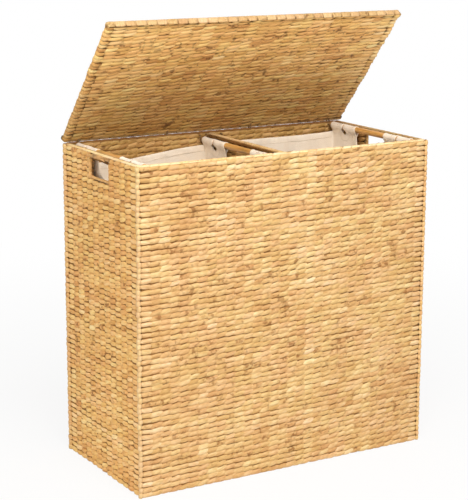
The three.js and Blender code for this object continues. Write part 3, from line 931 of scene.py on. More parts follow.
class Modelling(Nodes):
    """A Geometry Nodes tree while it is being made."""

    def __init__(self, name: str) -> None:
        """Starts a tree that takes and gives geometry."""
        group = bpy.data.node_groups.new(name, "GeometryNodeTree")
        super().__init__(group)
        self.identifiers: dict[str, str] = {}
        group.interface.new_socket(name="Geometry", in_out="OUTPUT", socket_type="NodeSocketGeometry")
        self.group_input = group.nodes.new("NodeGroupInput")
        self.ask("Geometry", "Geometry")

    def ask(self, name: str, kind: str = "Float") -> Sock:
        """A named input of the tree."""
        socket = self.tree.interface.new_socket(
            name=name, in_out="INPUT", socket_type=f"NodeSocket{kind}"
        )
        self.identifiers[name] = socket.identifier
        found = next(out for out in self.group_input.outputs if out.name == name)
        return Sock(self, found)

    def source(self) -> Sock:
        """The geometry that the tree repeats."""
        return Sock(self, self.group_input.outputs["Geometry"])

    def chance(self, reach: float, seed: Any) -> Sock:
        """A random number for each element, from minus to plus a reach."""
        inputs = {"Min": -reach, "Max": reach, "Seed": seed}
        return self.add("FunctionNodeRandomValue", {"data_type": "FLOAT"}, inputs)

    def copies(self, points: Sock, **inputs: Sock) -> Sock:
        """The geometry that the tree repeats, on every point."""
        inputs |= {"Points": points, "Instance": self.source()}
        return self.add("GeometryNodeInstanceOnPoints", None, inputs)

    def set_place(self, geometry: Sock, **inputs: Sock) -> Sock:
        """The geometry with its points moved."""
        return self.add("GeometryNodeSetPosition", None, {"Geometry": geometry, **inputs})

    def keep(self, geometry: Sock, name: str, value: Sock, domain: str) -> Sock:
        """Stores a number under a name."""
        settings = {"data_type": "FLOAT", "domain": domain}
        inputs = {"Geometry": geometry, "Name": name, "Value": value}
        return self.add("GeometryNodeStoreNamedAttribute", settings, inputs)

    def give(self, geometry: Sock, material: Sock) -> None:
        """Ends the tree in plain faces with their material."""
        plain = self.add("GeometryNodeRealizeInstances", None, {"Geometry": geometry})
        inputs = {"Geometry": plain, "Material": material}
        dressed = self.add("GeometryNodeSetMaterial", None, inputs)
        self.add("NodeGroupOutput", None, {"Geometry": dressed})

    def run(self, name: str, mesh: Mesh, values: dict[str, Any]) -> Mesh:
        """Runs the tree on a mesh.

        Args:
            name: The new mesh's name.
            mesh: The mesh that the tree repeats.
            values: The tree's named inputs.

        Returns:
            The result as a plain mesh.
        """
        obj = piece(f"{name}_source", mesh)
        modifier = obj.modifiers.new("repeat", "NODES")
        modifier.node_group = self.tree
        for key, value in values.items():
            modifier[self.identifiers[key]] = value
        obj.update_tag()
        made = evaluated_mesh(obj, name)
        obj.modifiers.clear()
        bpy.data.objects.remove(obj)
        return made


class WeaveTree(Modelling):
    """Repeats one stitch in columns and courses over a flat weave."""

    SLIDE = 0.06
    RIPPLE = 0.55
    ROLL = 0.12
    LEAN = 0.08
    END_LEAN = 0.1
    LONG_TONE = 1.5
    COLUMN_TONE = 0.4
    OWN_TONE = 0.16
    PALE_TONE = 0.22
    END_TONE = 0.14

    def __init__(self) -> None:
        """Builds the tree."""
        super().__init__("weave")
        columns, courses, seed = (self.ask(name, "Int") for name in ("Columns", "Courses", "Seed"))
        column_pitch, course_pitch, sway, spread, pinch, skew, pale_at = map(
            self.ask,
            ("Column Pitch", "Course Pitch", "Sway", "Spread", "Pinch", "Skew", "Pale At"),
        )
        hole_low, hole_high = (self.ask(name, "Vector") for name in ("Hole Low", "Hole High"))
        material = self.ask("Material", "Material")
        grid = self.add(
            "GeometryNodeMeshGrid",
            None,
            {
                "Size X": (columns - 1) * column_pitch,
                "Size Y": (courses - 1) * course_pitch,
                "Vertices X": columns,
                "Vertices Y": courses,
            },
        )
        x, y, _ = self.parts(self.add("GeometryNodeInputPosition"))
        low_x, low_y, _ = self.parts(hole_low)
        high_x, high_y, _ = self.parts(hole_high)
        in_hole = (x > low_x) * (x < high_x) * (y > low_y) * (y < high_y)
        points = self.add(
            "GeometryNodeDeleteGeometry",
            {"domain": "POINT"},
            {"Geometry": grid, "Selection": in_hole > 0.5},
        )
        wander = self.noise(self.vector(x * 8.0, y * 14.0, seed * 3.7), detail=1.0)
        ripple = self.noise(self.vector(x * 26.0, y * 110.0, seed * 1.3 + 9.0), detail=0.0)
        lift = (wander - 0.5) * sway + (ripple - 0.5) * sway * self.RIPPLE
        slide = self.chance(self.SLIDE, seed) * column_pitch
        course, column = (y / course_pitch).rounded(), (x / column_pitch).rounded()
        along = self.vector(x * 9.0 + column % 2.0 * 0.9, course * 5.37, seed * 2.1)
        long_tone = self.noise(along, detail=1.0)
        column_tone = self.noise(self.vector(column * 4.7, y * 3.0, seed * 5.3), detail=0.0)
        outermost = (columns - 1) * column_pitch * 0.5 - column_pitch * 0.5
        at_end = x.size() > outermost
        pale = (x - pale_at).size() < column_pitch * 0.5
        tone = (long_tone - 0.5) * self.LONG_TONE + (column_tone - 0.5) * self.COLUMN_TONE + 0.5
        tone = tone + self.chance(self.OWN_TONE, seed + 1)
        tone = tone + pale * self.PALE_TONE + at_end * self.END_TONE
        moved = self.keep(
            self.set_place(points, Offset=self.vector(slide, lift, 0.0)), "tone", tone, "POINT"
        )
        size = self.vector(
            self.chance(1.0, seed + 2) * spread + 1.0,
            self.chance(1.0, seed + 3) * spread + 1.0 - at_end * pinch,
            self.chance(1.0, seed + 4) * spread * 1.5 + 1.0,
        )
        level = self.chance(self.LEAN, seed + 6) + x * skew - at_end * self.END_LEAN
        turn = self.vector(self.chance(self.ROLL, seed + 5), 0.0, level)
        self.give(self.copies(moved, Rotation=turn, Scale=size), material)


class PathTree(Modelling):
    """Lays copies of a turn along a line and bends them to it."""

    LONG_TONE = 1.3
    OWN_TONE = 0.25

    def __init__(self) -> None:
        """Builds the tree."""
        super().__init__("along_path")
        path = self.ask("Path", "Object")
        up = self.ask("Up", "Vector")
        count, seed = self.ask("Count", "Int"), self.ask("Seed", "Int")
        length, spread = self.ask("Length"), self.ask("Spread")
        material = self.ask("Material", "Material")
        pitch = length / count
        line = self.add(
            "GeometryNodeMeshLine",
            {"mode": "OFFSET"},
            {
                "Count": count,
                "Start Location": self.vector(pitch * 0.5, 0.0, 0.0),
                "Offset": self.vector(pitch, 0.0, 0.0),
            },
        )
        x, _, _ = self.parts(self.add("GeometryNodeInputPosition"))
        tone = self.noise(self.vector(x * 14.0, seed * 3.1, 0.0), detail=1.0)
        tone = (tone - 0.5) * self.LONG_TONE + 0.5 + self.chance(self.OWN_TONE, seed)
        line = self.keep(line, "tone", tone, "POINT")
        size = self.vector(
            1.0,
            self.chance(1.0, seed + 1) * spread + 1.0,
            self.chance(1.0, seed + 2) * spread + 1.0,
        )
        turns = self.copies(line, Scale=size)
        plain = self.add("GeometryNodeRealizeInstances", None, {"Geometry": turns})
        info = self.add("GeometryNodeObjectInfo", {"transform_space": "ORIGINAL"}, {"Object": path})
        run, side, rise = self.parts(self.add("GeometryNodeInputPosition"))
        sampled = self.add(
            "GeometryNodeSampleCurve",
            {"mode": "LENGTH", "use_all_curves": True},
            {"Curves": info.other("Geometry"), "Length": run % length},
        )
        across = self.move("CROSS_PRODUCT", up, sampled.other("Tangent"))
        across = self.move("NORMALIZE", across, (0.0, 0.0, 0.0))
        offset = self.move("ADD", self.scaled(across, side), self.scaled(up, rise))
        place = self.move("ADD", sampled.other("Position"), offset)
        self.give(self.set_place(plain, Position=place), material)


def path_object(points: Sequence[Vector], cyclic: bool) -> tuple[Object, float]:
    """A line through points, with its length.

    Args:
        points: Its corners in order.
        cyclic: Whether the last joins the first.

    Returns:
        The object and the length in metres.
    """
    curve = bpy.data.curves.new("path", "CURVE")
    curve.dimensions = "3D"
    spline = curve.splines.new("POLY")
    spline.points.add(len(points) - 1)
    for target, point in zip(spline.points, points):
        target.co = (*point, 1.0)
    spline.use_cyclic_u = cyclic
    steps = list(zip(points, points[1:]))
    if cyclic:
        steps.append((points[-1], points[0]))
    return piece("path", curve), sum((after - before).length for before, after in steps)


def arc(
    centre: Sequence[float], radius: float, start: float, end: float, steps: int
) -> list[tuple[float, float]]:
    """Points on an arc, with both its ends.

    Args:
        centre: Its centre.
        radius: Its radius.
        start: The angle of the first point.
        end: The angle of the last point.
        steps: How many parts it has.

    Returns:
        One point more than there are parts.
    """
    angles = [start + (end - start) * step / steps for step in range(steps + 1)]
    return [
        (centre[0] + radius * math.cos(angle), centre[1] + radius * math.sin(angle))
        for angle in angles
    ]


def box_mesh(
    name: str,
    low: Sequence[float],
    high: Sequence[float],
    material: Material | None = None,
) -> Mesh:
    """A closed block between two corners.

    Args:
        name: The mesh's name.
        low: The corner with the least values.
        high: The corner with the greatest values.
        material: Its finish, if it has one.

    Returns:
        The mesh.
    """
    corners = [
        (x, y, z)
        for z in (low[2], high[2])
        for x, y in ((low[0], low[1]), (high[0], low[1]), (high[0], high[1]), (low[0], high[1]))
    ]
    faces = [(3, 2, 1, 0), (4, 5, 6, 7)]
    faces += [(side, (side + 1) % 4, (side + 1) % 4 + 4, side + 4) for side in range(4)]
    return MeshData(np.array(corners), faces, smooth=False).mesh(name, material)


# Sizes shared by the sub-assemblies


@dataclass(frozen=True)
class Sizes:
    """The hamper's sizes, as in the solids."""

    width: float = 0.618
    depth: float = 0.304
    height: float = 0.600
    wall: float = 0.012
    base: float = 0.012
    rim_width: float = 0.014
    course: float = 0.0098
    line_x: float = 0.302
    line_y: float = 0.145
    rim_bottom: float = 0.588
    hole_half: float = 0.038
    hole_bottom: float = 0.555
    lip: float = 0.008
    divider: float = 0.010
    hinge_y: float = 0.145
    hinge_z: float = 0.608
    lid_width: float = 0.624
    lid_depth: float = 0.304
    lid_thickness: float = 0.012
    lid_course: float = 0.009
    rest_angle: float = math.radians(49)
    rod_radius: float = 0.00575
    rod_half: float = 0.1365
    wall_rod: tuple[float, float] = (0.2855, 0.5935)
    divider_rod: tuple[float, float] = (0.0165, 0.585)
    weave_top: float = 0.5978

    @property
    def inner_x(self) -> float:
        """From the middle to the inner face of a side wall."""
        return self.line_x - self.wall / 2

    @property
    def inner_y(self) -> float:
        """From the middle to the inner face of the front or back wall."""
        return self.line_y - self.wall / 2

    def lid_place(self) -> Matrix:
        """From the closed lid about its hinge line to where it stands open."""
        turn = Matrix.Rotation(-self.rest_angle, 4, "X")
        return Matrix.Translation((0, self.hinge_y, self.hinge_z)) @ turn


SIZES = Sizes()


def facing(right: Sequence[float], up: Sequence[float], origin: Sequence[float]) -> Matrix:
    """The place of a weave whose X runs right and whose Y runs up."""
    x, y = Vector(right), Vector(up)
    z = x.cross(y)
    return Matrix.Translation(origin) @ Matrix((x, y, z)).transposed().to_4x4()


Hole = tuple[tuple[float, float], tuple[float, float]]


@dataclass
class Weaver:
    """Makes woven and wrapped pieces from shared trees."""

    weave_tree: WeaveTree = field(default_factory=WeaveTree)
    path_tree: PathTree = field(default_factory=PathTree)
    edge_pitch: float = 0.02
    edge_sway: float = 0.0012
    wrap_spread: float = 0.03

    def face(
        self,
        name: str,
        stitch: MeshData,
        material: Material,
        place: Matrix,
        columns: int,
        courses: int,
        pitches: tuple[float, float],
        seed: int,
        sway: float = 0.0042,
        spread: float = 0.12,
        pinch: float = 0.0,
        skew: float = 0.0,
        pale_at: float = FAR,
        hole: Hole | None = None,
    ) -> Mesh:
        """A flat field of stitches.

        Args:
            name: The mesh's name.
            stitch: The stitch that is repeated.
            material: Its finish.
            place: From the field's own plane to the row frame.
            columns: Stitches along a course.
            courses: Courses.
            pitches: Between columns and between courses.
            seed: For what is random.
            sway: How far the courses wander.
            spread: How much the stitches differ in size.
            pinch: How much narrower the first and last stitch of a course are.
            skew: How fast the slant of the stitches grows along a course, per metre.
            pale_at: Where a paler column lies.
            hole: Lowest and highest corner of a place with no stitches.

        Returns:
            The field as a plain mesh in the row frame.
        """
        low, high = hole or ((FAR, FAR), (FAR, FAR))
        mesh = self.weave_tree.run(
            name,
            stitch.mesh(f"{name}_stitch"),
            {
                "Columns": columns,
                "Courses": courses,
                "Column Pitch": pitches[0],
                "Course Pitch": pitches[1],
                "Sway": sway,
                "Spread": spread,
                "Pinch": pinch,
                "Skew": skew,
                "Pale At": pale_at,
                "Hole Low": (*low, 0.0),
                "Hole High": (*high, 0.0),
                "Seed": seed,
                "Material": material,
            },
        )
        mesh.transform(place)
        return mesh

    def panel(
        self,
        name: str,
        stitch: Stitch,
        finishes: tuple[Material, Material],
        seeds: dict[int, Sequence[float]],
        up: Sequence[float],
        middle: Vector,
        lift: float,
        free: tuple[float, float],
        pitches: tuple[float, float],
        core: Sequence[float],
        place: Matrix | None = None,
        **choices: float,
    ) -> list[Mesh]:
        """A panel woven on both faces round a closed core.

        Args:
            name: What the names of its meshes start with.
            stitch: The stitch of both faces.
            finishes: Of the stitches and of the core.
            seeds: For each face the way that its courses run, by the face's seed.
            up: The way from course to course.
            middle: The middle of the panel.
            lift: From the middle to the line of the stitches.
            free: How long a course is and how high all courses are.
            pitches: Between columns and between courses, before they are rounded to fit.
            core: Half of the core's size in X, Y and Z.
            place: From the panel's frame to the row frame.
            choices: Other values that a field of stitches takes.

        Returns:
            Both faces and the core as plain meshes in the row frame.
        """
        place = place or Matrix()
        columns, courses = (round(whole / pitch) for whole, pitch in zip(free, pitches))
        meshes = [
            self.face(
                f"{name}_{seed}", stitch.flat(), finishes[0],
                place @ facing(right, up, middle + Vector(right).cross(Vector(up)) * lift),
                columns, courses, (free[0] / columns, free[1] / courses), seed, **choices,
            )
            for seed, right in seeds.items()
        ]
        half = Vector(core)
        block = box_mesh(f"{name}_core", middle - half, middle + half, finishes[1])
        block.transform(place)
        return [*meshes, block]

    def edge(
        self,
        name: str,
        strand: Stitch,
        bend: tuple[float, float],
        tails: tuple[float, float],
        material: Material,
        place: Matrix,
        courses: tuple[int, float],
        seed: int,
        spread: float,
    ) -> Mesh:
        """One strand in every course, bent round an edge of a weave.

        Args:
            name: The mesh's name.
            strand: The strand, whose length follows from its bend and its tails.
            bend: Its radius and how far it turns, in radians.
            tails: Its straight ends.
            material: Its finish.
            place: From the strand's own frame to the row frame.
            courses: How many there are, and their pitch.
            seed: For what is random.
            spread: How much the strands differ in size.

        Returns:
            The strands as a plain mesh in the row frame.
        """
        radius, turn = bend
        strand = replace(strand, length=radius * turn + sum(tails))
        return self.face(
            name, strand.turned(radius, turn, (tails[1] - tails[0]) / 2), material, place,
            1, courses[0], (self.edge_pitch, courses[1]), seed, sway=self.edge_sway, spread=spread,
        )

    def wrapped(
        self,
        name: str,
        turn: Wrap,
        material: Material,
        points: Sequence[Vector],
        seed: int,
        up: Sequence[float] = UP,
        cyclic: bool = False,
    ) -> Mesh:
        """Turns of a strand wrapped along a line.

        Args:
            name: The mesh's name.
            turn: One turn.
            material: Its finish.
            points: The line.
            seed: For what is random.
            up: The direction of the turn's height.
            cyclic: True where the line closes on itself.

        Returns:
            The wrapped bar as a plain mesh in the line's frame.
        """
        path, length = path_object(points, cyclic)
        mesh = self.path_tree.run(
            name,
            turn.shape().mesh(f"{name}_turn"),
            {
                "Path": path,
                "Up": tuple(up),
                "Count": max(1, round(length / turn.pitch)),
                "Length": length if cyclic else length * 1.0001,
                "Spread": self.wrap_spread,
                "Seed": seed,
                "Material": material,
            },
        )
        bpy.data.objects.remove(path)
        return mesh


# Sub-assemblies


@dataclass
class WovenBody:
    """The four walls, the base and the divider, woven on the hidden wire frame."""

    sizes: Sizes
    weaver: Weaver
    front_column: float = 0.0190
    side_column: float = 0.0212
    crest: float = 0.0061
    margins: tuple[float, float] = (0.0060, 0.0110)
    inset: float = 0.0036
    pinch: float = 0.07
    front_skew: float = 0.1
    pale_at: float = 0.042
    reveal: float = 0.012
    hole_margin: float = 0.001
    hole_gap: float = 0.0006
    foot_spread: float = 0.1
    floor_gap: float = 0.0002
    backing_half: float = 0.0032
    backing_inset: float = 0.002
    backing_foot: float = 0.004
    corner_tails: tuple[float, float] = (0.0020, 0.0080)
    corner_reach: float = 0.0084
    corner_radius: float = 0.0050
    corner_spread: float = 0.04
    divider_margin: float = 0.006
    divider_core: float = 0.0015
    base_margins: tuple[float, float] = (0.030, 0.002)
    base_gap: float = 0.0001
    base_sway: float = 0.002
    base_spread: float = 0.04
    outer: Stitch = Stitch(0.0335, 0.0110, 0.0062, 0.0032, 0.0021, taper=0.5, end_shade=0.6)
    side_outer: Stitch = Stitch(0.0335, 0.0110, 0.0060, 0.0036, 0.0026, taper=0.62, end_shade=0.9)
    inner: Stitch = Stitch(
        0.0330, 0.0110, 0.0058, 0.0036, 0.0020, rings=5, taper=0.45, end_shade=0.5,
        section=(-95, -35, 35, 95, 180),
    )
    corner: Stitch = Stitch(0.0, 0.0122, 0.0050, 0.0006, 0.0022, rings=13, taper=0.25, end_shade=0.2)

    def build(self) -> None:
        """Builds and dresses every woven piece of the body."""
        inner = (INNER_STRAW.material(), INNER_BACKING.material())
        self._walls(inner[0], BACKING.material())
        self._corners(CORNER_STRAW.material(), EDGE_STRAW.material())
        self._divider(inner)
        self._base(inner)

    def _finish(self, name: str, meshes: Sequence[Mesh], nodes: Sequence[str] = ()) -> None:
        """Trims meshes and makes them a piece of the body."""
        for mesh in meshes:
            reshape(mesh, self._trim)
        declare(piece(name, joined(name, meshes)), "body", Slot.WOVEN, nodes)

    def _trim(self, points: np.ndarray) -> None:
        """Presses the weave flat on the floor and back from the handle holes."""
        size = self.sizes
        foot = points[:, 2] < size.course / 2
        points[foot, 2] += self.foot_spread * (2 * points[foot, 2] - size.course)
        points[:, 2] = points[:, 2].clip(self.floor_gap, None)
        edge = size.hole_half + self.hole_gap
        at_side = np.abs(points[:, 0]) > size.line_x - size.wall
        inside = at_side & (np.abs(points[:, 1]) < edge) & (points[:, 2] > size.hole_bottom)
        points[inside, 1] = np.sign(points[inside, 1]) * edge

    @staticmethod
    def _square(points: np.ndarray, along: np.ndarray, reach: float) -> None:
        """Ends the courses of a wall inside its corners."""
        run = points @ along
        points += np.outer(run.clip(-reach, reach) - run, along)

    def _courses(self) -> tuple[int, float]:
        """How many courses a wall has, and their pitch."""
        count = round(self.sizes.weave_top / self.sizes.course)
        return count, self.sizes.weave_top / count

    def _hole(self, wider: float, lower: float = 0.0) -> Hole:
        """The handle hole in the plane of its wall, wider and lower than the lip needs."""
        size = self.sizes
        half = size.hole_half + wider
        low = size.hole_bottom - size.lip / 2 - size.weave_top / 2 - lower
        return ((-half, low), (half, FAR))

    def _walls(self, inner_straw: Material, backing: Material) -> None:
        """The outer and inner weave of each wall, on a backing."""
        size = self.sizes
        straws = (WALL_STRAW.material(), SIDE_STRAW.material())
        courses, course = self._courses()
        sides = (
            ("front_wall", (1, 0, 0), (0, -size.line_y), size.width, self.front_column, 11),
            ("back_wall", (-1, 0, 0), (0, size.line_y), size.width, self.front_column, 23),
            ("left_wall", (0, -1, 0), (-size.line_x, 0), size.depth, self.side_column, 37),
            ("right_wall", (0, 1, 0), (size.line_x, 0), size.depth, self.side_column, 53),
        )
        for name, right, centre, length, pitch, seed in sides:
            is_side = centre[1] == 0
            stitch = self.side_outer if is_side else self.outer
            middle = Vector((*centre, size.weave_top / 2))
            out = Vector(right).cross(UP)
            free = length - 2 * self.margins[is_side]
            columns = round(free / pitch)
            origin = middle + out * (self.crest - stitch.thickness / 2)
            outer = self.weaver.face(
                f"{name}_weave", stitch.flat(), straws[is_side], facing(right, UP, origin),
                columns, courses, (free / columns, course), seed, pinch=self.pinch,
                skew=0.0 if is_side else self.front_skew, pale_at=FAR if is_side else self.pale_at,
                hole=self._hole(self.hole_margin) if is_side else None,
            )
            reshape(outer, self._square, np.array(right, np.float32), length / 2 - self.inset)
            self._finish(f"{name}_weave", [outer], [name])
            free -= 2 * size.wall
            columns = round(free / pitch)
            origin = middle - out * (self.crest - self.inner.thickness / 2)
            inner = self.weaver.face(
                f"{name}_lining", self.inner.flat(), inner_straw, facing(-Vector(right), UP, origin),
                columns, courses, (free / columns, course), seed + 1,
                hole=self._hole(self.reveal, self.reveal) if is_side else None,
            )
            core = self._backing(name, Vector(right), centre, length, backing, is_side)
            self._finish(f"{name}_lining", [inner, core])

    def _backing(
        self,
        name: str,
        right: Vector,
        centre: tuple[float, float],
        length: float,
        material: Material,
        is_side: bool,
    ) -> Mesh:
        """The closed core of a wall, notched for the handle on the sides.

        Args:
            name: The wall's name.
            right: The way along it.
            centre: Its middle in X and Y.
            length: The body's size along it.
            material: The finish.
            is_side: Whether it has a handle hole.

        Returns:
            The core's mesh.
        """
        size = self.sizes
        half = length / 2 - size.wall / 2 - self.backing_inset
        low, high = self.backing_foot, size.weave_top
        outline = [(-half, low), (half, low), (half, high)]
        if is_side:
            notch = size.hole_half + self.reveal
            sill = size.hole_bottom - self.reveal
            outline += [(notch, high), (notch, sill), (-notch, sill), (-notch, high)]
        outline.append((-half, high))
        points = [
            Vector((*centre, z)) + right * run + right.cross(UP) * side * self.backing_half
            for side in (-1, 1)
            for run, z in outline
        ]
        count = len(outline)
        faces: list[tuple[int, ...]] = [tuple(range(count)), tuple(range(count, 2 * count))[::-1]]
        for index in range(count):
            after = (index + 1) % count
            faces.append((index, after, after + count, index + count))
        mesh = MeshData(np.array(points), faces, smooth=False).mesh(f"{name}_core", material)
        fix_normals(mesh)
        return mesh

    def _corners(self, pale: Material, straw: Material) -> None:
        """One strand round each upright corner in every course, paler on one front corner."""
        size = self.sizes
        radius = self.corner_radius - self.corner.thickness / 2
        reach = self.corner_reach - self.corner_radius
        meshes = []
        for index, (sx, sy) in enumerate(((-1, -1), (1, -1), (1, 1), (-1, 1))):
            right = UP.cross(Vector((sx, sy, 0)).normalized())
            axis = (sx * (size.line_x + reach), sy * (size.line_y + reach), size.weave_top / 2)
            tails = self.corner_tails[::-1] if sx == sy else self.corner_tails
            meshes.append(
                self.weaver.edge(
                    f"corner_{index}", self.corner, (radius, math.pi / 2), tails,
                    straw if index else pale, facing(right, UP, axis), self._courses(),
                    71 + index, self.corner_spread,
                )
            )
        self._finish("corner_weave", meshes)

    def _divider(self, finishes: tuple[Material, Material]) -> None:
        """The woven divider between the bins."""
        size = self.sizes
        free = (2 * size.inner_y - self.divider_margin, size.rim_bottom - size.base)
        meshes = self.weaver.panel(
            "divider", self.inner, finishes, {83: (0, 1, 0), 89: (0, -1, 0)}, UP,
            Vector((0, 0, (size.base + size.rim_bottom) / 2)),
            (size.divider - self.inner.thickness) / 2, free, (self.side_column, size.course),
            (self.divider_core, free[0] / 2, free[1] / 2),
        )
        self._finish("divider_weave", meshes, ["divider_panel"])

    def _base(self, finishes: tuple[Material, Material]) -> None:
        """The woven floor of the hamper."""
        size = self.sizes
        free = (size.width - self.base_margins[0], 2 * size.inner_y - self.base_margins[1])
        meshes = self.weaver.panel(
            "base", self.inner, finishes, {97: (1, 0, 0), 101: (-1, 0, 0)}, (0, 1, 0),
            Vector((0, 0, size.base / 2)),
            (size.base - self.inner.thickness) / 2 - self.base_gap, free,
            (self.front_column, size.course), (free[0] / 2, free[1] / 2, size.base / 4),
            sway=self.base_sway, spread=self.base_spread,
        )
        self._finish("base_weave", meshes, ["base_panel"])


@dataclass
class WrappedEdges:
    """The wrapped rim, the divider's rail and the lips of the handle holes."""

    sizes: Sizes
    weaver: Weaver
    rim: Wrap = Wrap(0.0190, 0.0115, 0.0045, 0.0026, swell=0.0006, rings=7)
    rim_corner: float = 0.0030
    corner_steps: int = 6
    rail: Wrap = Wrap(0.0058, 0.0104, 0.0092, 0.0042, slant=0.002)
    rail_run: float = 0.001
    lip: Wrap = Wrap(0.0090, 0.0042, 0.0066, 0.0018, swell=0.0004, slant=0.002)
    lip_inset: float = 0.0005
    lip_steps: int = 4
    lintel_narrower: float = 0.0006
    lintel_rounding: float = 0.0030
    lintel_swell: float = 0.0002
    lintel_overlaps: tuple[float, float] = (0.0004, 0.0024)
    lintel_reach: float = 0.003

    def build(self) -> None:
        """Builds and dresses the wrapped pieces of the body."""
        self._rim(RIM_STRAW.material())
        self._rail(RAIL_STRAW.material())
        straw = LIP_STRAW.material()
        for side, name in ((-1, "left"), (1, "right")):
            self._handle(side, name, straw)

    def _rim(self, straw: Material) -> None:
        """The rim round the top."""
        size = self.sizes
        x, y = size.line_x - self.rim_corner, size.line_y - self.rim_corner
        points = [
            Vector((*point, size.height - self.rim.height / 2))
            for quarter, centre in enumerate(((x, y), (-x, y), (-x, -y), (x, -y)))
            for point in arc(
                centre, self.rim_corner, quarter * TAU / 4, (quarter + 1) * TAU / 4, self.corner_steps
            )
        ]
        mesh = self.weaver.wrapped("rim", self.rim, straw, points, 7, cyclic=True)
        declare(piece("rim_wrapping", mesh), "body", Slot.WRAPPED, ["rim_wrap"])

    def _rail(self, straw: Material) -> None:
        """The wrapped rail over the divider."""
        size = self.sizes
        middle = size.rim_bottom + self.rail.height / 2
        half = size.line_y - size.rim_width / 2 + self.rail_run
        points = [Vector((0, y, middle)) for y in (-half, half)]
        mesh = self.weaver.wrapped("rail", self.rail, straw, points, 19)
        made = piece("divider_rail_wrapping", mesh)
        declare(made, "body", Slot.WRAPPED, ["divider_rail_wrap"])

    def _handle(self, side: int, name: str, straw: Material) -> None:
        """The wrapped lip of a handle hole: down one side, along the sill and up the other.

        Args:
            side: -1 at the left wall and 1 at the right wall.
            name: The side's name.
            straw: The finish.
        """
        size = self.sizes
        radius = self.lip.width / 2
        half = size.hole_half + radius
        left, right = ((sign * size.hole_half, size.hole_bottom) for sign in (-1, 1))
        line = [
            (-half, size.rim_bottom),
            *arc(left, radius, math.pi, 0.75 * TAU, self.lip_steps),
            *arc(right, radius, 0.75 * TAU, TAU, self.lip_steps),
            (half, size.rim_bottom),
        ]
        across = size.line_x + size.rim_width / 2 - self.lip_inset - self.lip.height / 2
        points = [Vector((side * across, y, z)) for y, z in line]
        lip = self.weaver.wrapped(f"{name}_lip", self.lip, straw, points, 29 + side, up=(side, 0, 0))
        below, above = self.lintel_overlaps
        low, high = size.rim_bottom - below, size.height - self.rim.height + above
        reach = half + self.lintel_reach
        bar = Wrap(
            2 * reach, size.rim_width - self.lintel_narrower, high - low, self.lintel_rounding,
            swell=self.lintel_swell,
        )
        ends = [Vector((side * size.line_x, y, (low + high) / 2)) for y in (-reach, reach)]
        over = self.weaver.wrapped(f"{name}_lintel", bar, straw, ends, 33 + side)
        made = piece(f"{name}_handle_lip", joined(f"{name}_handle_lip", [lip, over]))
        declare(made, "body", Slot.WRAPPED, [f"{name}_handle_wrap"])


@dataclass
class WovenLid:
    """The lid: woven on both faces, with courses that wrap round its side wires."""

    sizes: Sizes
    weaver: Weaver
    column: float = 0.0228
    bulge: float = 0.0012
    end_margin: float = 0.015
    face_inset: float = 0.0004
    core_inset: float = 0.006
    core_half: float = 0.0022
    end_tail: float = 0.0125
    end_spread: float = 0.05
    tail: float = 0.0070
    bend: float = 0.0012
    bend_steps: int = 4
    binding: float = 0.0032
    binding_edges: tuple[float, float] = (0.0062, 0.0055)
    stitch: Stitch = Stitch(0.0360, 0.0104, 0.0050, 0.0044, 0.0024, taper=0.55)
    end: Stitch = Stitch(0.0, 0.0103, 0.0046, 0.0, 0.0012, rings=11, taper=0.3)
    turn: Wrap = Wrap(0.0205, 0.0046, 0.0120, 0.0022, swell=0.0003, slant=0.002)

    def build(self) -> None:
        """Builds and dresses the lid."""
        size = self.sizes
        place = size.lid_place()
        middle = Vector((0, (size.lid_thickness - size.lid_depth) / 2, 0))
        straw = LID_STRAW.material()
        free = (size.lid_width - 2 * self.end_margin, size.lid_depth - 2 * self.binding)
        meshes = self.weaver.panel(
            "lid", self.stitch, (straw, BACKING.material()), {131: (1, 0, 0), 149: (-1, 0, 0)},
            (0, 1, 0), middle, (size.lid_thickness - self.stitch.thickness) / 2 - self.face_inset,
            free, (self.column, size.lid_course),
            (size.lid_width / 2 - self.core_inset, free[1] / 2, self.core_half), place,
        )
        meshes += self._ends(place, middle, free[1], straw)
        declare(piece("lid_weave", joined("lid_weave", meshes)), "lid", Slot.WOVEN, ["lid_panel"])
        self._bindings(place)

    def _ends(self, place: Matrix, middle: Vector, free: float, straw: Material) -> list[Mesh]:
        """The strands that wrap round the lid's two side wires.

        Args:
            place: The lid's pose.
            middle: The lid's middle before it is tilted.
            free: The woven depth.
            straw: The finish.

        Returns:
            A mesh for each side.
        """
        size = self.sizes
        radius = (size.lid_thickness - self.end.thickness) / 2
        courses = round(free / size.lid_course)
        reach = size.lid_width / 2 + self.bulge - size.lid_thickness / 2
        return [
            self.weaver.edge(
                f"lid_end_{index}", self.end, (radius, math.pi), (self.end_tail, self.end_tail),
                straw, place @ facing((0, 0, side), (0, 1, 0), middle - Vector((side * reach, 0, 0))),
                (courses, free / courses), 151 + index, self.end_spread,
            )
            for index, side in enumerate((-1, 1))
        ]

    def _bindings(self, place: Matrix) -> None:
        """The wrapped front and back edges of the lid."""
        size = self.sizes
        straw = BINDING_STRAW.material()
        half = size.lid_width / 2 + self.bulge - self.turn.width / 2
        back, front = self.binding_edges
        meshes = []
        for seed, edge, inward in ((161, back, -1), (163, front - size.lid_depth, 1)):
            y = edge + inward * self.turn.width / 2
            x, inner, quarter = half - self.bend, y + inward * self.bend, inward * TAU / 4
            line = [
                (-half, y + inward * self.tail),
                *arc((-x, inner), self.bend, TAU / 2, TAU / 2 + quarter, self.bend_steps),
                *arc((x, inner), self.bend, -quarter, 0.0, self.bend_steps),
                (half, y + inward * self.tail),
            ]
            points = [Vector((*point, 0)) for point in line]
            meshes.append(self.weaver.wrapped(f"lid_binding_{seed}", self.turn, straw, points, seed))
            meshes[-1].transform(place)
        made = piece("lid_bindings", joined("lid_bindings", meshes))
        declare(made, "lid", Slot.WRAPPED, ["lid_edge_wrap"])


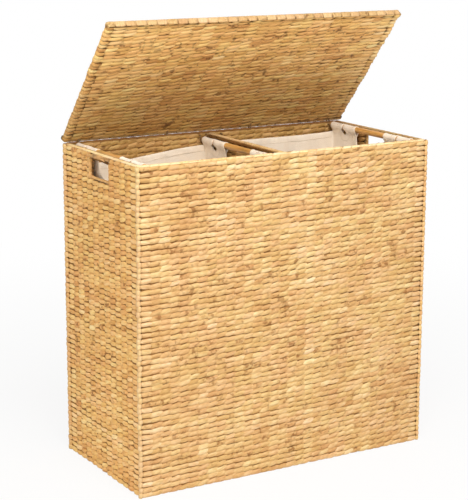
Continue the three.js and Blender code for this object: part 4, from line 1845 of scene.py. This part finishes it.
@dataclass
class RodsAndWires:
    """The bamboo rods, their saddles, the lid's links and the hidden frames."""

    sizes: Sizes
    sides: int = 40
    stations: int = 45
    rounded_end: tuple[tuple[float, float], ...] = ((0.0, 0.55), (0.0006, 0.8), (0.0018, 0.97))
    end_run: float = 0.004
    swell: float = 0.012
    slimmer: float = 0.01
    node_places: tuple[float, float] = (-0.071, 0.052)
    node_height: float = 0.035
    node_width: float = 0.0022

    def build(self, nodes: dict[str, Object]) -> None:
        """Builds the rods and dresses the wires.

        Args:
            nodes: The frame's nodes by name.
        """
        bamboo = BAMBOO.material()
        frame_wire = FRAME_WIRE.material()
        link_wire = LINK_WIRE.material()
        for name, obj in nodes.items():
            if name.endswith("_frame"):
                self._dress(obj, frame_wire)
            elif "saddle" in name or name.startswith("hinge_link"):
                self._dress(obj, link_wire)
        places = {"wall": self.sizes.wall_rod, "divider": self.sizes.divider_rod}
        for side, word in ((-1, "left"), (1, "right")):
            for place, (x, z) in places.items():
                self._rod(f"{word}_bag_{place}_rod", side * x, z, bamboo)

    @staticmethod
    def _dress(obj: Object, material: Material) -> None:
        """Gives a carried-over node its finish."""
        obj.data.materials.clear()
        obj.data.materials.append(material)

    def _rod(self, node: str, x: float, z: float, bamboo: Material) -> None:
        """A rod with rounded ends, a slight swell and two faint nodes.

        Args:
            node: The rod's name in the record.
            x: Its place across the hamper.
            z: Its height.
            bamboo: The finish.
        """
        half, radius = self.sizes.rod_half, self.sizes.rod_radius
        stations = [(inward - half, grow) for inward, grow in self.rounded_end]
        for y in np.linspace(self.end_run - half, half - self.end_run, self.stations):
            wave = 1 - self.swell * math.sin(23 * y + 9 * x)
            rings = sum(math.exp(-(((y - at) / self.node_width) ** 2)) for at in self.node_places)
            stations.append((y, wave + self.node_height * rings - self.slimmer))
        stations += [(half - inward, grow) for inward, grow in self.rounded_end[::-1]]
        angles = [TAU * side / self.sides for side in range(self.sides)]
        circle = [(radius * math.cos(angle), radius * math.sin(angle)) for angle in angles]
        points = np.array([
            [(x + a * grow, y, z + b * grow) for a, b in circle] for y, grow in stations
        ])
        mesh = MeshData(points.reshape(-1, 3), lofted(points)).mesh(node, bamboo)
        fix_normals(mesh)
        declare(piece(f"{node}_bamboo", mesh), "body", Slot.ROD, [node])


@dataclass
class Pattern:
    """One flat piece of cloth, cut into triangles and laid in space.

    Args:
        outline: Its border, anticlockwise or clockwise, with a point wherever a seam has one.
        free_edge: The part of the border that is hemmed.
        rows: Heights of its inner points.
        spacing: Between the inner points of a row.
        place: Gives the place in space of a point of the flat piece.
        clearance: How far inner points stay off the border, as a share of the spacing.
    """

    outline: list[tuple[float, float]]
    free_edge: list[tuple[float, float]]
    rows: Sequence[float]
    spacing: float
    place: Callable[[float, float], Sequence[float]]
    clearance: float = 0.35

    def __post_init__(self) -> None:
        """Cuts the piece."""
        border = np.array(self.outline)
        count = len(border)
        edges = [(index, (index + 1) % count) for index in range(count)]
        points = [Vector(point) for point in np.vstack([border, self._inner(border)])]
        cut = delaunay_2d_cdt(points, edges, [], 1, 1e-6)
        self.flat = np.array([tuple(point) for point in cut[0]])
        self.faces = np.array(cut[2])
        self.laid = np.array([self.place(*point) for point in self.flat])
        self.edge = self._distance(self.flat, np.array(self.free_edge), closed=False)

    def _inner(self, border: np.ndarray) -> np.ndarray:
        """Rows of points inside the border and clear of it.

        Args:
            border: The border's points in order.

        Returns:
            The points, each with two values.
        """
        low, high = border.min(axis=0), border.max(axis=0)
        grid = np.array([
            (x + index % 2 * self.spacing / 2, row)
            for index, row in enumerate(self.rows)
            for x in np.arange(low[0], high[0], self.spacing)
        ])
        inside = np.zeros(len(grid), bool)
        for (x0, y0), (x1, y1) in zip(border, np.roll(border, -1, axis=0)):
            if y0 != y1:
                crosses = (y0 > grid[:, 1]) != (y1 > grid[:, 1])
                reach = x0 + (grid[:, 1] - y0) / (y1 - y0) * (x1 - x0)
                inside ^= crosses & (grid[:, 0] < reach)
        clear = self._distance(grid, border, closed=True) > self.clearance * self.spacing
        return grid[inside & clear]

    @staticmethod
    def _distance(points: np.ndarray, line: np.ndarray, closed: bool) -> np.ndarray:
        """How far each point lies from a line through other points.

        Args:
            points: The points.
            line: The line's points in order.
            closed: Whether the last joins the first.

        Returns:
            A distance for each point.
        """
        ends = np.roll(line, -1, axis=0)
        steps = zip(line, ends) if closed else zip(line[:-1], ends[:-1])
        nearest = np.full(len(points), FAR)
        for start, end in steps:
            along = end - start
            share = ((points - start) @ along / max(along @ along, 1e-12)).clip(0, 1)
            gap = np.linalg.norm(points - start - share[:, None] * along, axis=1)
            nearest = np.minimum(nearest, gap)
        return nearest

    def area(self) -> float:
        """The cut's flat area."""
        a, b, c = (self.flat[self.faces[:, corner]] for corner in range(3))
        return float(np.abs(np.cross(b - a, c - a)).sum() / 2)

    def follow(self, line: np.ndarray, places: np.ndarray) -> list[Vector]:
        """Where points of the flat piece lie on the hung cloth.

        Args:
            line: Points of the flat piece.
            places: Where the piece's own points hang.

        Returns:
            The points in space; those off the cloth are left out.
        """
        a, b, c = (self.flat[self.faces[:, corner]] for corner in range(3))
        whole = np.cross(b - a, c - a)
        found = []
        for point in line:
            share_a = np.cross(b - point, c - point) / whole
            share_b = np.cross(c - point, a - point) / whole
            worst = np.minimum(np.minimum(share_a, share_b), 1 - share_a - share_b)
            best = int(worst.argmax())
            if worst[best] > -0.01:
                shares = (share_a[best], share_b[best], 1 - share_a[best] - share_b[best])
                corners = places[self.faces[best]]
                found.append(Vector(sum(s * corner for s, corner in zip(shares, corners))))
        return found


def spaced(start: Sequence[float], end: Sequence[float], step: float) -> list[tuple[float, float]]:
    """Points from a start towards an end, without the end."""
    start, end = np.array(start, float), np.array(end, float)
    count = max(1, round(float(np.linalg.norm(end - start)) / step))
    return [tuple(start + (end - start) * index / count) for index in range(count)]


CLOTH_SETTINGS = {
    "quality": 7,
    "mass": 0.25,
    "air_damping": 2.0,
    "tension_stiffness": 14.0,
    "compression_stiffness": 10.0,
    "shear_stiffness": 4.0,
    "bending_stiffness": 1.2,
    "vertex_group_mass": "held",
}


@dataclass
class LinerBag:
    """A cloth bag hung by its tabs from two rods."""

    sizes: Sizes
    weaver: Weaver
    side: int
    mouth: tuple[float, float]
    dip: float
    seed: int
    half_depth: float = 0.131
    floor: float = 0.0150
    loop_radius: float = 0.0067
    hem_drop: float = 0.0135
    hem_gap: float = 0.0007
    grip_half: float = 0.048
    scoop_bottom: float = 0.549
    scoop_power: float = 0.6
    scoop_points: int = 41
    hole_points: int = 13
    tab_points: int = 12
    mouth_points: int = 50
    mouth_ends: tuple[float, float] = (0.005, 0.995)
    slit_at: float = 0.0895
    slit_half: float = 0.0017
    slit_mouth: float = 0.0095
    slit_neck: float = 0.0195
    hole_radius: float = 0.0075
    hole_drop: float = 0.0200
    dip_lean: float = 0.55
    step: float = 0.0105
    fine: float = 0.0045
    fine_below: float = 0.012
    mouth_step: float = 0.0075
    held_below: float = 0.001
    held_edge: float = 0.0005
    ripple_top: float = 0.56
    ripple_fade: float = 0.1
    ripples: tuple[float, float] = (0.0006, 0.0008)
    bin_gap: float = 0.0015
    bin_top: float = 0.58
    bin_skin: float = 0.002
    friction: float = 8.0
    cloth_gap: float = 0.0025
    slack: float = 0.022
    frames: int = 45
    thickness: float = 0.0011
    thread: Wrap = Wrap(0.0042, 0.0008, 0.0023, 0.0004, 0.0, 0.0, sides=6, rings=4, overlap=0.72)
    tab_thread: float = 0.0018
    scoop_thread: float = 0.010
    mouth_thread: float = 0.0105

    def build(self) -> None:
        """Cuts, sews, hangs and dresses the bag."""
        name = "left" if self.side < 0 else "right"
        wall = self._side_pattern(self.sizes.wall_rod, -self.side, self.mouth[0])
        divider = self._side_pattern(self.sizes.divider_rod, self.side, self.mouth[1])
        ends = [self._end_pattern(y) for y in (-self.half_depth, self.half_depth)]
        patterns = [wall, divider, *ends, self._floor_pattern()]
        cloth, owners = self._sewn(f"{name}_bag", patterns)
        self._hang(cloth)
        hung = np.array([tuple(vertex.co) for vertex in cloth.data.vertices])
        rods = (self.sizes.wall_rod, self.sizes.divider_rod)
        lines = [(self._side_lines(rod), (1, 0, 0)) for rod in rods]
        lines += [(self._end_lines(), (0, 1, 0))] * 2
        threads = self._threads(f"{name}_bag", [
            (pattern, hung[owner], *sewn) for pattern, owner, sewn in zip(patterns, owners, lines)
        ])
        self._finish(name, cloth, threads, sum(pattern.area() for pattern in patterns))

    def _loop(self) -> tuple[float, float, float]:
        """The straight, the bent and the whole length of a tab's loop."""
        straight = math.sqrt(self.hem_drop**2 - self.loop_radius**2)
        bent = self.loop_radius * (TAU - 2 * math.acos(self.loop_radius / self.hem_drop))
        return straight, bent, 2 * straight + bent

    def _span(self) -> tuple[float, float]:
        """Where the bag starts at the wall and ends at the divider, in X."""
        return self.side * self.sizes.wall_rod[0], self.side * self.sizes.divider_rod[0]

    def _side_pattern(self, rod: tuple[float, float], inward: int, mouth: float) -> Pattern:
        """The side panel at one rod; its heights grow downwards from the end of the hem.

        Args:
            rod: The rod's X and height.
            inward: The way from the rod into the bin, -1 or 1.
            mouth: The height of the mouth at its corners.

        Returns:
            The cut of the panel.
        """
        rod_x, rod_z = self.side * rod[0], rod[1]
        straight, bent, loop = self._loop()
        start_angle = math.acos(self.loop_radius / self.hem_drop)
        touch = np.array((
            self.loop_radius * math.sin(start_angle), -self.loop_radius * math.cos(start_angle)
        ))
        hem = np.array((0.0, -self.hem_drop))

        def place(u: float, v: float) -> Sequence[float]:
            """A point of the panel in space."""
            if v < straight:
                out = hem + (touch * (-1, 1) - hem) * v / straight
                out[0] -= self.hem_gap
            elif v < straight + bent:
                angle = start_angle + (v - straight) / self.loop_radius
                out = self.loop_radius * np.array((-math.sin(angle), -math.cos(angle)))
            elif v < loop:
                out = touch + (hem - touch) * (v - straight - bent) / straight
            else:
                out = hem - (0, v - loop)
            return (rod_x + inward * out[0], u, rod_z + out[1])

        def down(z: float) -> float:
            """The height on the flat panel of a height in space."""
            return loop + rod_z - self.hem_drop - z

        width, fine = self.half_depth, self.fine
        top = spaced((-width, 0), (-self.slit_at - self.slit_mouth, 0), fine)
        top += self._slit(-self.slit_at, loop / 2 + self.hole_drop)
        top += spaced((-self.slit_at + self.slit_mouth, 0), (-self.grip_half, 0), fine)
        top += spaced((-self.grip_half, 0), (-self.grip_half, loop), fine)
        top += [tuple(point) for point in self._scoop(loop, down(self.scoop_bottom), 0.0)]
        top += spaced((self.grip_half, loop), (self.grip_half, 0), fine)[1:]
        top += spaced((self.grip_half, 0), (self.slit_at - self.slit_mouth, 0), fine)
        top += self._slit(self.slit_at, loop / 2 + self.hole_drop)
        top += spaced((self.slit_at + self.slit_mouth, 0), (width, 0), fine)
        tab = spaced((width, 0), (width, down(mouth)), fine)
        seam = [(width, down(z)) for z in self._seam(mouth)]
        bottom = spaced((width, down(self.floor)), (-width, down(self.floor)), self.step)
        mirrored = [(-u, v) for u, v in reversed(tab[1:] + seam)]
        outline = top + tab + seam + bottom + mirrored
        free = [(-u, v) for u, v in reversed(tab)] + top + tab
        rows = [*np.arange(fine / 2, loop + self.fine_below, fine)]
        rows += [*np.arange(rows[-1] + self.step, down(self.floor), self.step)]
        return Pattern(outline, free, rows, self.step, place)

    def _scoop(self, start: float, end: float, margin: float) -> np.ndarray:
        """The scoop for the hand from one tab to the next, or a line beside it."""
        angles = np.linspace(math.pi, 0, self.scoop_points)
        across = np.sign(np.cos(angles)) * np.abs(np.cos(angles)) ** self.scoop_power
        drop = (end - start + margin) * np.abs(np.sin(angles)) ** self.scoop_power
        return np.column_stack([(self.grip_half + margin) * across, start + drop])

    def _seam(self, top: float) -> list[float]:
        """Heights of the points of an upright seam, from the top without the floor."""
        count = round((top - self.floor) / self.step)
        return [top + (self.floor - top) * index / count for index in range(count)]

    def _slit(self, at: float, end: float) -> list[tuple[float, float]]:
        """A slit from a wide notch in the end of the hem to a round hole.

        Args:
            at: Its place along the hem.
            end: The height of the hole's middle.

        Returns:
            Its points, up to the next part of the edge.
        """
        neck = math.asin(self.slit_half / self.hole_radius)
        corners = [
            (self.slit_mouth, 0.0),
            (self.slit_mouth, self.slit_neck - self.slit_mouth),
            (self.slit_half, self.slit_neck),
            (self.slit_half, end - self.hole_radius * math.cos(neck)),
        ]
        edge = [
            point
            for start, finish in zip(corners, corners[1:])
            for point in spaced(start, finish, self.fine)
        ]
        hole = [
            (at - self.hole_radius * math.sin(angle), end - self.hole_radius * math.cos(angle))
            for angle in np.linspace(neck, TAU - neck, self.hole_points)
        ]
        first = [(at - half, v) for half, v in edge]
        last = [(at + half, v) for half, v in edge]
        return first + hole + last[:0:-1]

    def _end_pattern(self, y: float) -> Pattern:
        """The front or back panel, in X and Z."""
        near, far = self._span()
        count = round(abs(far - near) / self.mouth_step)
        top = self._mouth_line(np.linspace(0, 1, count))
        down = [(far, z) for z in self._seam(self.mouth[1])][1:]
        bottom = spaced((far, self.floor), (near, self.floor), self.step)
        up = [(near, z) for z in self._seam(self.mouth[0])][:0:-1]
        rows = np.arange(self.floor + self.step / 2, max(self.mouth), self.step)
        return Pattern(top + down + bottom + up, top, rows, self.step, lambda x, z: (x, y, z))

    def _mouth_line(self, shares: np.ndarray, below: float = 0.0) -> list[tuple[float, float]]:
        """Points of the mouth's edge by their shares of the way from wall to divider.

        Args:
            shares: From 0 at the wall to 1 at the divider.
            below: How far under the edge they lie.

        Returns:
            Their places in X and Z.
        """
        near, far = self._span()
        points = []
        for share in shares:
            line = self.mouth[0] + (self.mouth[1] - self.mouth[0]) * share
            height = line - self.dip * math.sin(math.pi * share**self.dip_lean) ** 2
            points.append((near + (far - near) * share, height - below))
        return points

    def _floor_pattern(self) -> Pattern:
        """The bag's floor."""
        near, far = self._span()
        half = self.half_depth
        corners = [(near, -half), (far, -half), (far, half), (near, half)]
        outline = []
        for start, end in zip(corners, corners[1:] + corners[:1]):
            outline += spaced(start, end, self.step)
        rows = np.arange(-half + self.step / 2, half, self.step)
        return Pattern(outline, outline[:1], rows, self.step, lambda x, y: (x, y, self.floor))

    def _sewn(self, name: str, patterns: Sequence[Pattern]) -> tuple[Object, list[np.ndarray]]:
        """One mesh of the panels, joined where their seams meet.

        Args:
            name: The mesh's name.
            patterns: The panels: both sides, both ends and the floor.

        Returns:
            The cloth, and for each panel the numbers of its points in the mesh.
        """
        points = np.vstack([pattern.laid for pattern in patterns])
        _, kept, owner = np.unique(points.round(5), axis=0, return_index=True, return_inverse=True)
        ends = np.cumsum([len(pattern.laid) for pattern in patterns])
        owners = np.split(owner.ravel(), ends[:-1])
        faces, maps = [], []
        for pattern, own in zip(patterns, owners):
            faces += own[pattern.faces].tolist()
            maps += pattern.flat[pattern.faces.ravel()].tolist()
        mesh = bpy.data.meshes.new(name)
        mesh.from_pydata(points[kept].tolist(), [], faces)
        layer = mesh.uv_layers.new(name="cloth_map")
        layer.data.foreach_set("uv", np.array(maps, np.float32).ravel())
        edge = np.concatenate([
            pattern.edge if len(pattern.free_edge) > 1 else np.full(len(pattern.laid), 1.0)
            for pattern in patterns
        ])
        nearest = np.full(len(kept), 1.0)
        np.minimum.at(nearest, owner.ravel(), edge)
        store(mesh, "edge", nearest)
        mesh.polygons.foreach_set("use_smooth", [True] * len(mesh.polygons))
        cloth = piece(f"{name}_cloth", mesh)
        held = cloth.vertex_groups.new(name="held")
        hem_end = self._loop()[2] + self.held_below
        at_rod = [pattern.flat[:, 1] < hem_end for pattern in patterns[:2]]
        at_mouth = [pattern.edge < self.held_edge for pattern in patterns[2:4]]
        for own, fixed in zip(owners, at_rod + at_mouth):
            held.add(sorted(set(own[fixed].tolist())), 1.0, "REPLACE")
        return cloth, owners

    def _ripple(self, mesh: Mesh) -> None:
        """Gives the flat panels the first small waves that they sag from."""
        rng = np.random.default_rng(self.seed)
        waves = rng.uniform(0, TAU, (3, 4))
        for vertex in mesh.vertices:
            x, y, z = vertex.co
            drop = min(1.0, max(0.0, (self.ripple_top - z) / self.ripple_fade))
            for index, (a, b, c, d) in enumerate(waves):
                wave = math.sin(31 * (index + 1) * x + a) * math.sin(9 * z + b)
                wave += math.sin(29 * (index + 1) * y + c) * math.sin(11 * z + d)
                vertex.co.y -= self.ripples[1] * wave * drop * (1 if y > 0 else -1)
                vertex.co.x += self.ripples[0] * wave * drop

    @staticmethod
    def _opened(work: bmesh.types.BMesh) -> None:
        """Takes the top off a box and turns its faces inward."""
        lid = [face for face in work.faces if face.normal.z > 0.9]
        bmesh.ops.delete(work, geom=lid, context="FACES_ONLY")
        bmesh.ops.reverse_faces(work, faces=work.faces)

    def _bin(self) -> Object:
        """The open box that the cloth sags against, with its faces turned inward."""
        size = self.sizes
        near = self.side * (size.inner_x - self.bin_gap)
        far = self.side * (size.divider / 2 + self.bin_gap)
        half_y = size.inner_y - self.bin_gap
        low = (min(near, far), -half_y, size.base + self.bin_gap)
        mesh = box_mesh("bin", low, (max(near, far), half_y, self.bin_top))
        rework(mesh, self._opened)
        walls = piece("bin", mesh)
        walls.modifiers.new("solid", "COLLISION")
        walls.collision.thickness_outer = self.bin_skin
        walls.collision.cloth_friction = self.friction
        return walls

    def _hang(self, cloth: Object) -> None:
        """Lets the bag sag in its bin and keeps the result."""
        self._ripple(cloth.data)
        walls = self._bin()
        modifier = cloth.modifiers.new("hang", "CLOTH")
        for name, value in CLOTH_SETTINGS.items():
            setattr(modifier.settings, name, value)
        modifier.settings.shrink_min = -self.slack
        modifier.collision_settings.distance_min = self.cloth_gap
        modifier.collision_settings.collision_quality = 3
        modifier.point_cache.frame_end = self.frames + 15
        scene = bpy.context.scene
        for frame in range(1, self.frames + 1):
            scene.frame_set(frame)
        hung = evaluated_mesh(cloth, f"{cloth.name}_hung")
        cloth.modifiers.clear()
        cloth.data = hung
        bpy.data.objects.remove(walls)
        scene.frame_set(1)

    def _side_lines(self, rod: tuple[float, float]) -> list[np.ndarray]:
        """Where a side panel is stitched: across the tabs and round the scoop.

        Args:
            rod: The rod's X and height.

        Returns:
            The lines on the flat panel.
        """
        loop = self._loop()[2]
        lines = []
        for low, high in (
            (self.slit_at + self.hole_radius, self.half_depth),
            (self.grip_half, self.slit_at - self.hole_radius),
        ):
            for sign in (-1, 1):
                us = np.linspace(sign * low, sign * high, self.tab_points)
                lines.append(np.column_stack([us, np.full(len(us), loop - self.tab_thread)]))
        depth = loop + rod[1] - self.hem_drop - self.scoop_bottom
        lines.append(self._scoop(loop, depth, self.scoop_thread))
        return lines

    def _end_lines(self) -> list[np.ndarray]:
        """Where the front or back panel is stitched: along the mouth's hem."""
        shares = np.linspace(*self.mouth_ends, self.mouth_points)
        return [np.array(self._mouth_line(shares, self.mouth_thread))]

    def _threads(
        self,
        name: str,
        panels: Sequence[tuple[Pattern, np.ndarray, list[np.ndarray], Sequence[float]]],
    ) -> Mesh:
        """The stitches of the hems.

        Args:
            name: The bag's name.
            panels: A cut, its points when hung, its lines and the way off its face.

        Returns:
            One mesh.
        """
        material = THREAD.material()
        meshes = [
            self.weaver.wrapped(
                f"{name}_thread", self.thread, material, pattern.follow(line, places), number, up
            )
            for number, (pattern, places, lines, up) in enumerate(panels)
            for line in lines
        ]
        return joined(f"{name}_threads", meshes)

    def _finish(self, name: str, cloth: Object, threads: Mesh, area: float) -> None:
        """Args:
            name: The bag's name.
            cloth: The hung cloth.
            threads: The stitches' mesh.
            area: The area of the cuts together; not used.
        """
        smooth = cloth.modifiers.new("smooth", "SUBSURF")
        smooth.levels = smooth.render_levels = 1
        smooth.boundary_smooth = "PRESERVE_CORNERS"
        thick = cloth.modifiers.new("thick", "SOLIDIFY")
        thick.thickness = self.thickness
        thick.offset = 0.0
        mesh = evaluated_mesh(cloth, f"{name}_liner_bag_cloth")
        cloth.modifiers.clear()
        cloth.vertex_groups.clear()
        cloth.data = mesh
        mesh.materials.clear()
        mesh.materials.append(COTTON.material())
        cloth.name = f"{name}_liner_bag_cloth"
        stitching = piece(f"{name}_liner_bag_threads", threads)
        declare(cloth, "body", Slot.CLOTH, [f"{name}_liner_bag"])
        declare(stitching, "body", Slot.CLOTH)
        2 * self.half_depth + 2 * max(self.mouth)


@dataclass(frozen=True)
class Lamp:
    """A square soft lamp aimed at the hamper."""

    name: str
    place: tuple[float, float, float]
    power: float
    side: float
    tint: Colour
    aim: tuple[float, float, float] = (0.0, 0.0, 0.35)

    def build(self) -> None:
        """Places the lamp."""
        data = bpy.data.lights.new(self.name, "AREA")
        data.energy = self.power
        data.size = self.side
        data.color = self.tint
        turn = (Vector(self.aim) - Vector(self.place)).to_track_quat("-Z", "Y")
        lamp = piece(self.name, data)
        lamp.matrix_world = Matrix.Translation(self.place) @ turn.to_matrix().to_4x4()


@dataclass
class Studio:
    """Camera, lamps, floor and background."""

    focal_pixels: float = 1540.7
    long_side: float = 500.0
    eye: tuple[float, float, float] = (-1.485, -2.4462, 1.044)
    azimuth: float = 30.79
    elevation: float = 12.88
    roll: float = 0.23
    lamps: tuple[Lamp, ...] = (
        Lamp("key", (1.2, -2.9, 1.5), 7.5, 1.9, (1.0, 0.985, 0.95)),
        Lamp("fill", (-2.5, -2.3, 1.35), 32.0, 2.2, (1.0, 0.95, 0.86)),
        Lamp("top", (-0.5, -1.45, 2.35), 42.0, 1.2, (1.0, 0.99, 0.97)),
    )
    soft: Colour = (1.0, 0.985, 0.96)
    soft_power: float = 0.52
    floor_half: float = 8.0
    floor_grey: float = 0.86
    fade_out: tuple[float, float] = (0.4, 1.9)
    fade_start: float = 0.86

    def build(self) -> None:
        """Sets up the camera and the light."""
        self._camera()
        self._world()
        self._floor()
        for lamp in self.lamps:
            lamp.build()
        bpy.context.scene.view_settings.view_transform = "Standard"

    def _camera(self) -> None:
        """The camera at the photograph's place."""
        a, e, r = (math.radians(v) for v in (self.azimuth, self.elevation, self.roll))
        ahead = Vector((math.sin(a) * math.cos(e), math.cos(a) * math.cos(e), -math.sin(e)))
        right = Vector((math.cos(a), -math.sin(a), 0))
        up = right.cross(ahead)
        turned = right * math.cos(r) + up * math.sin(r)
        raised = up * math.cos(r) - right * math.sin(r)
        data = bpy.data.cameras.new("camera")
        data.lens = self.focal_pixels / self.long_side * data.sensor_width
        camera = piece("camera", data)
        turn = Matrix((turned, raised, -ahead)).transposed()
        camera.matrix_world = Matrix.Translation(self.eye) @ turn.to_4x4()
        bpy.context.scene.camera = camera

    def _world(self) -> None:
        """White where the camera looks past the object, softer as a light."""
        world = bpy.data.worlds.new("world")
        bpy.context.scene.world = world
        world.use_nodes = True
        nodes = Nodes(world.node_tree)
        rays = nodes.add("ShaderNodeLightPath")
        seen = rays.math("MAXIMUM", rays.other("Is Camera Ray"), rays.other("Is Glossy Ray"))
        seen = rays.math("MAXIMUM", seen, rays.other("Is Transmission Ray"))
        soft, white = (
            nodes.add("ShaderNodeBackground", None, {"Color": (*tint, 1.0), "Strength": power})
            for tint, power in ((self.soft, self.soft_power), ((1.0, 1.0, 1.0), 1.0))
        )
        mixed = nodes.add("ShaderNodeMixShader", None, {0: seen, 1: soft, 2: white})
        nodes.add("ShaderNodeOutputWorld", None, {"Surface": mixed})

    def _floor(self) -> None:
        """A plain pale floor that keeps a soft shadow."""
        shader = Shader("floor")
        rays = shader.add("ShaderNodeLightPath")
        lit = shader.add("ShaderNodeBsdfDiffuse", None, {"Color": (*[self.floor_grey] * 3, 1.0)})
        white = shader.add("ShaderNodeEmission", None, {"Strength": 1.0})
        distance = shader.add("ShaderNodeVectorMath", {"operation": "LENGTH"}, {0: shader.place()})
        far = shader.fit(distance, *self.fade_out, (self.fade_start, 1.0))
        share = rays.other("Is Camera Ray") * far
        mixed = shader.add("ShaderNodeMixShader", None, {0: share, 1: lit, 2: white})
        shader.add("ShaderNodeOutputMaterial", None, {"Surface": mixed})
        half = self.floor_half
        corners = np.array([(-half, -half, 0), (half, -half, 0), (half, half, 0), (-half, half, 0)])
        floor = MeshData(corners, [(0, 1, 2, 3)], smooth=False).mesh("floor", shader.material)
        piece("floor", floor)


def main() -> None:
    """Builds the scene round the frame."""
    logging.basicConfig(level=logging.INFO, format="%(name)s: %(message)s")
    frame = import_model()
    Studio().build()
    weaver = Weaver()
    WovenBody(SIZES, weaver).build()
    WrappedEdges(SIZES, weaver).build()
    WovenLid(SIZES, weaver).build()
    RodsAndWires(SIZES).build(frame["nodes"])
    LinerBag(SIZES, weaver, side=-1, mouth=(0.566, 0.576), dip=0.010, seed=3).build()
    LinerBag(SIZES, weaver, side=1, mouth=(0.581, 0.578), dip=0.002, seed=8).build()


if __name__ == "__main__":
    main()
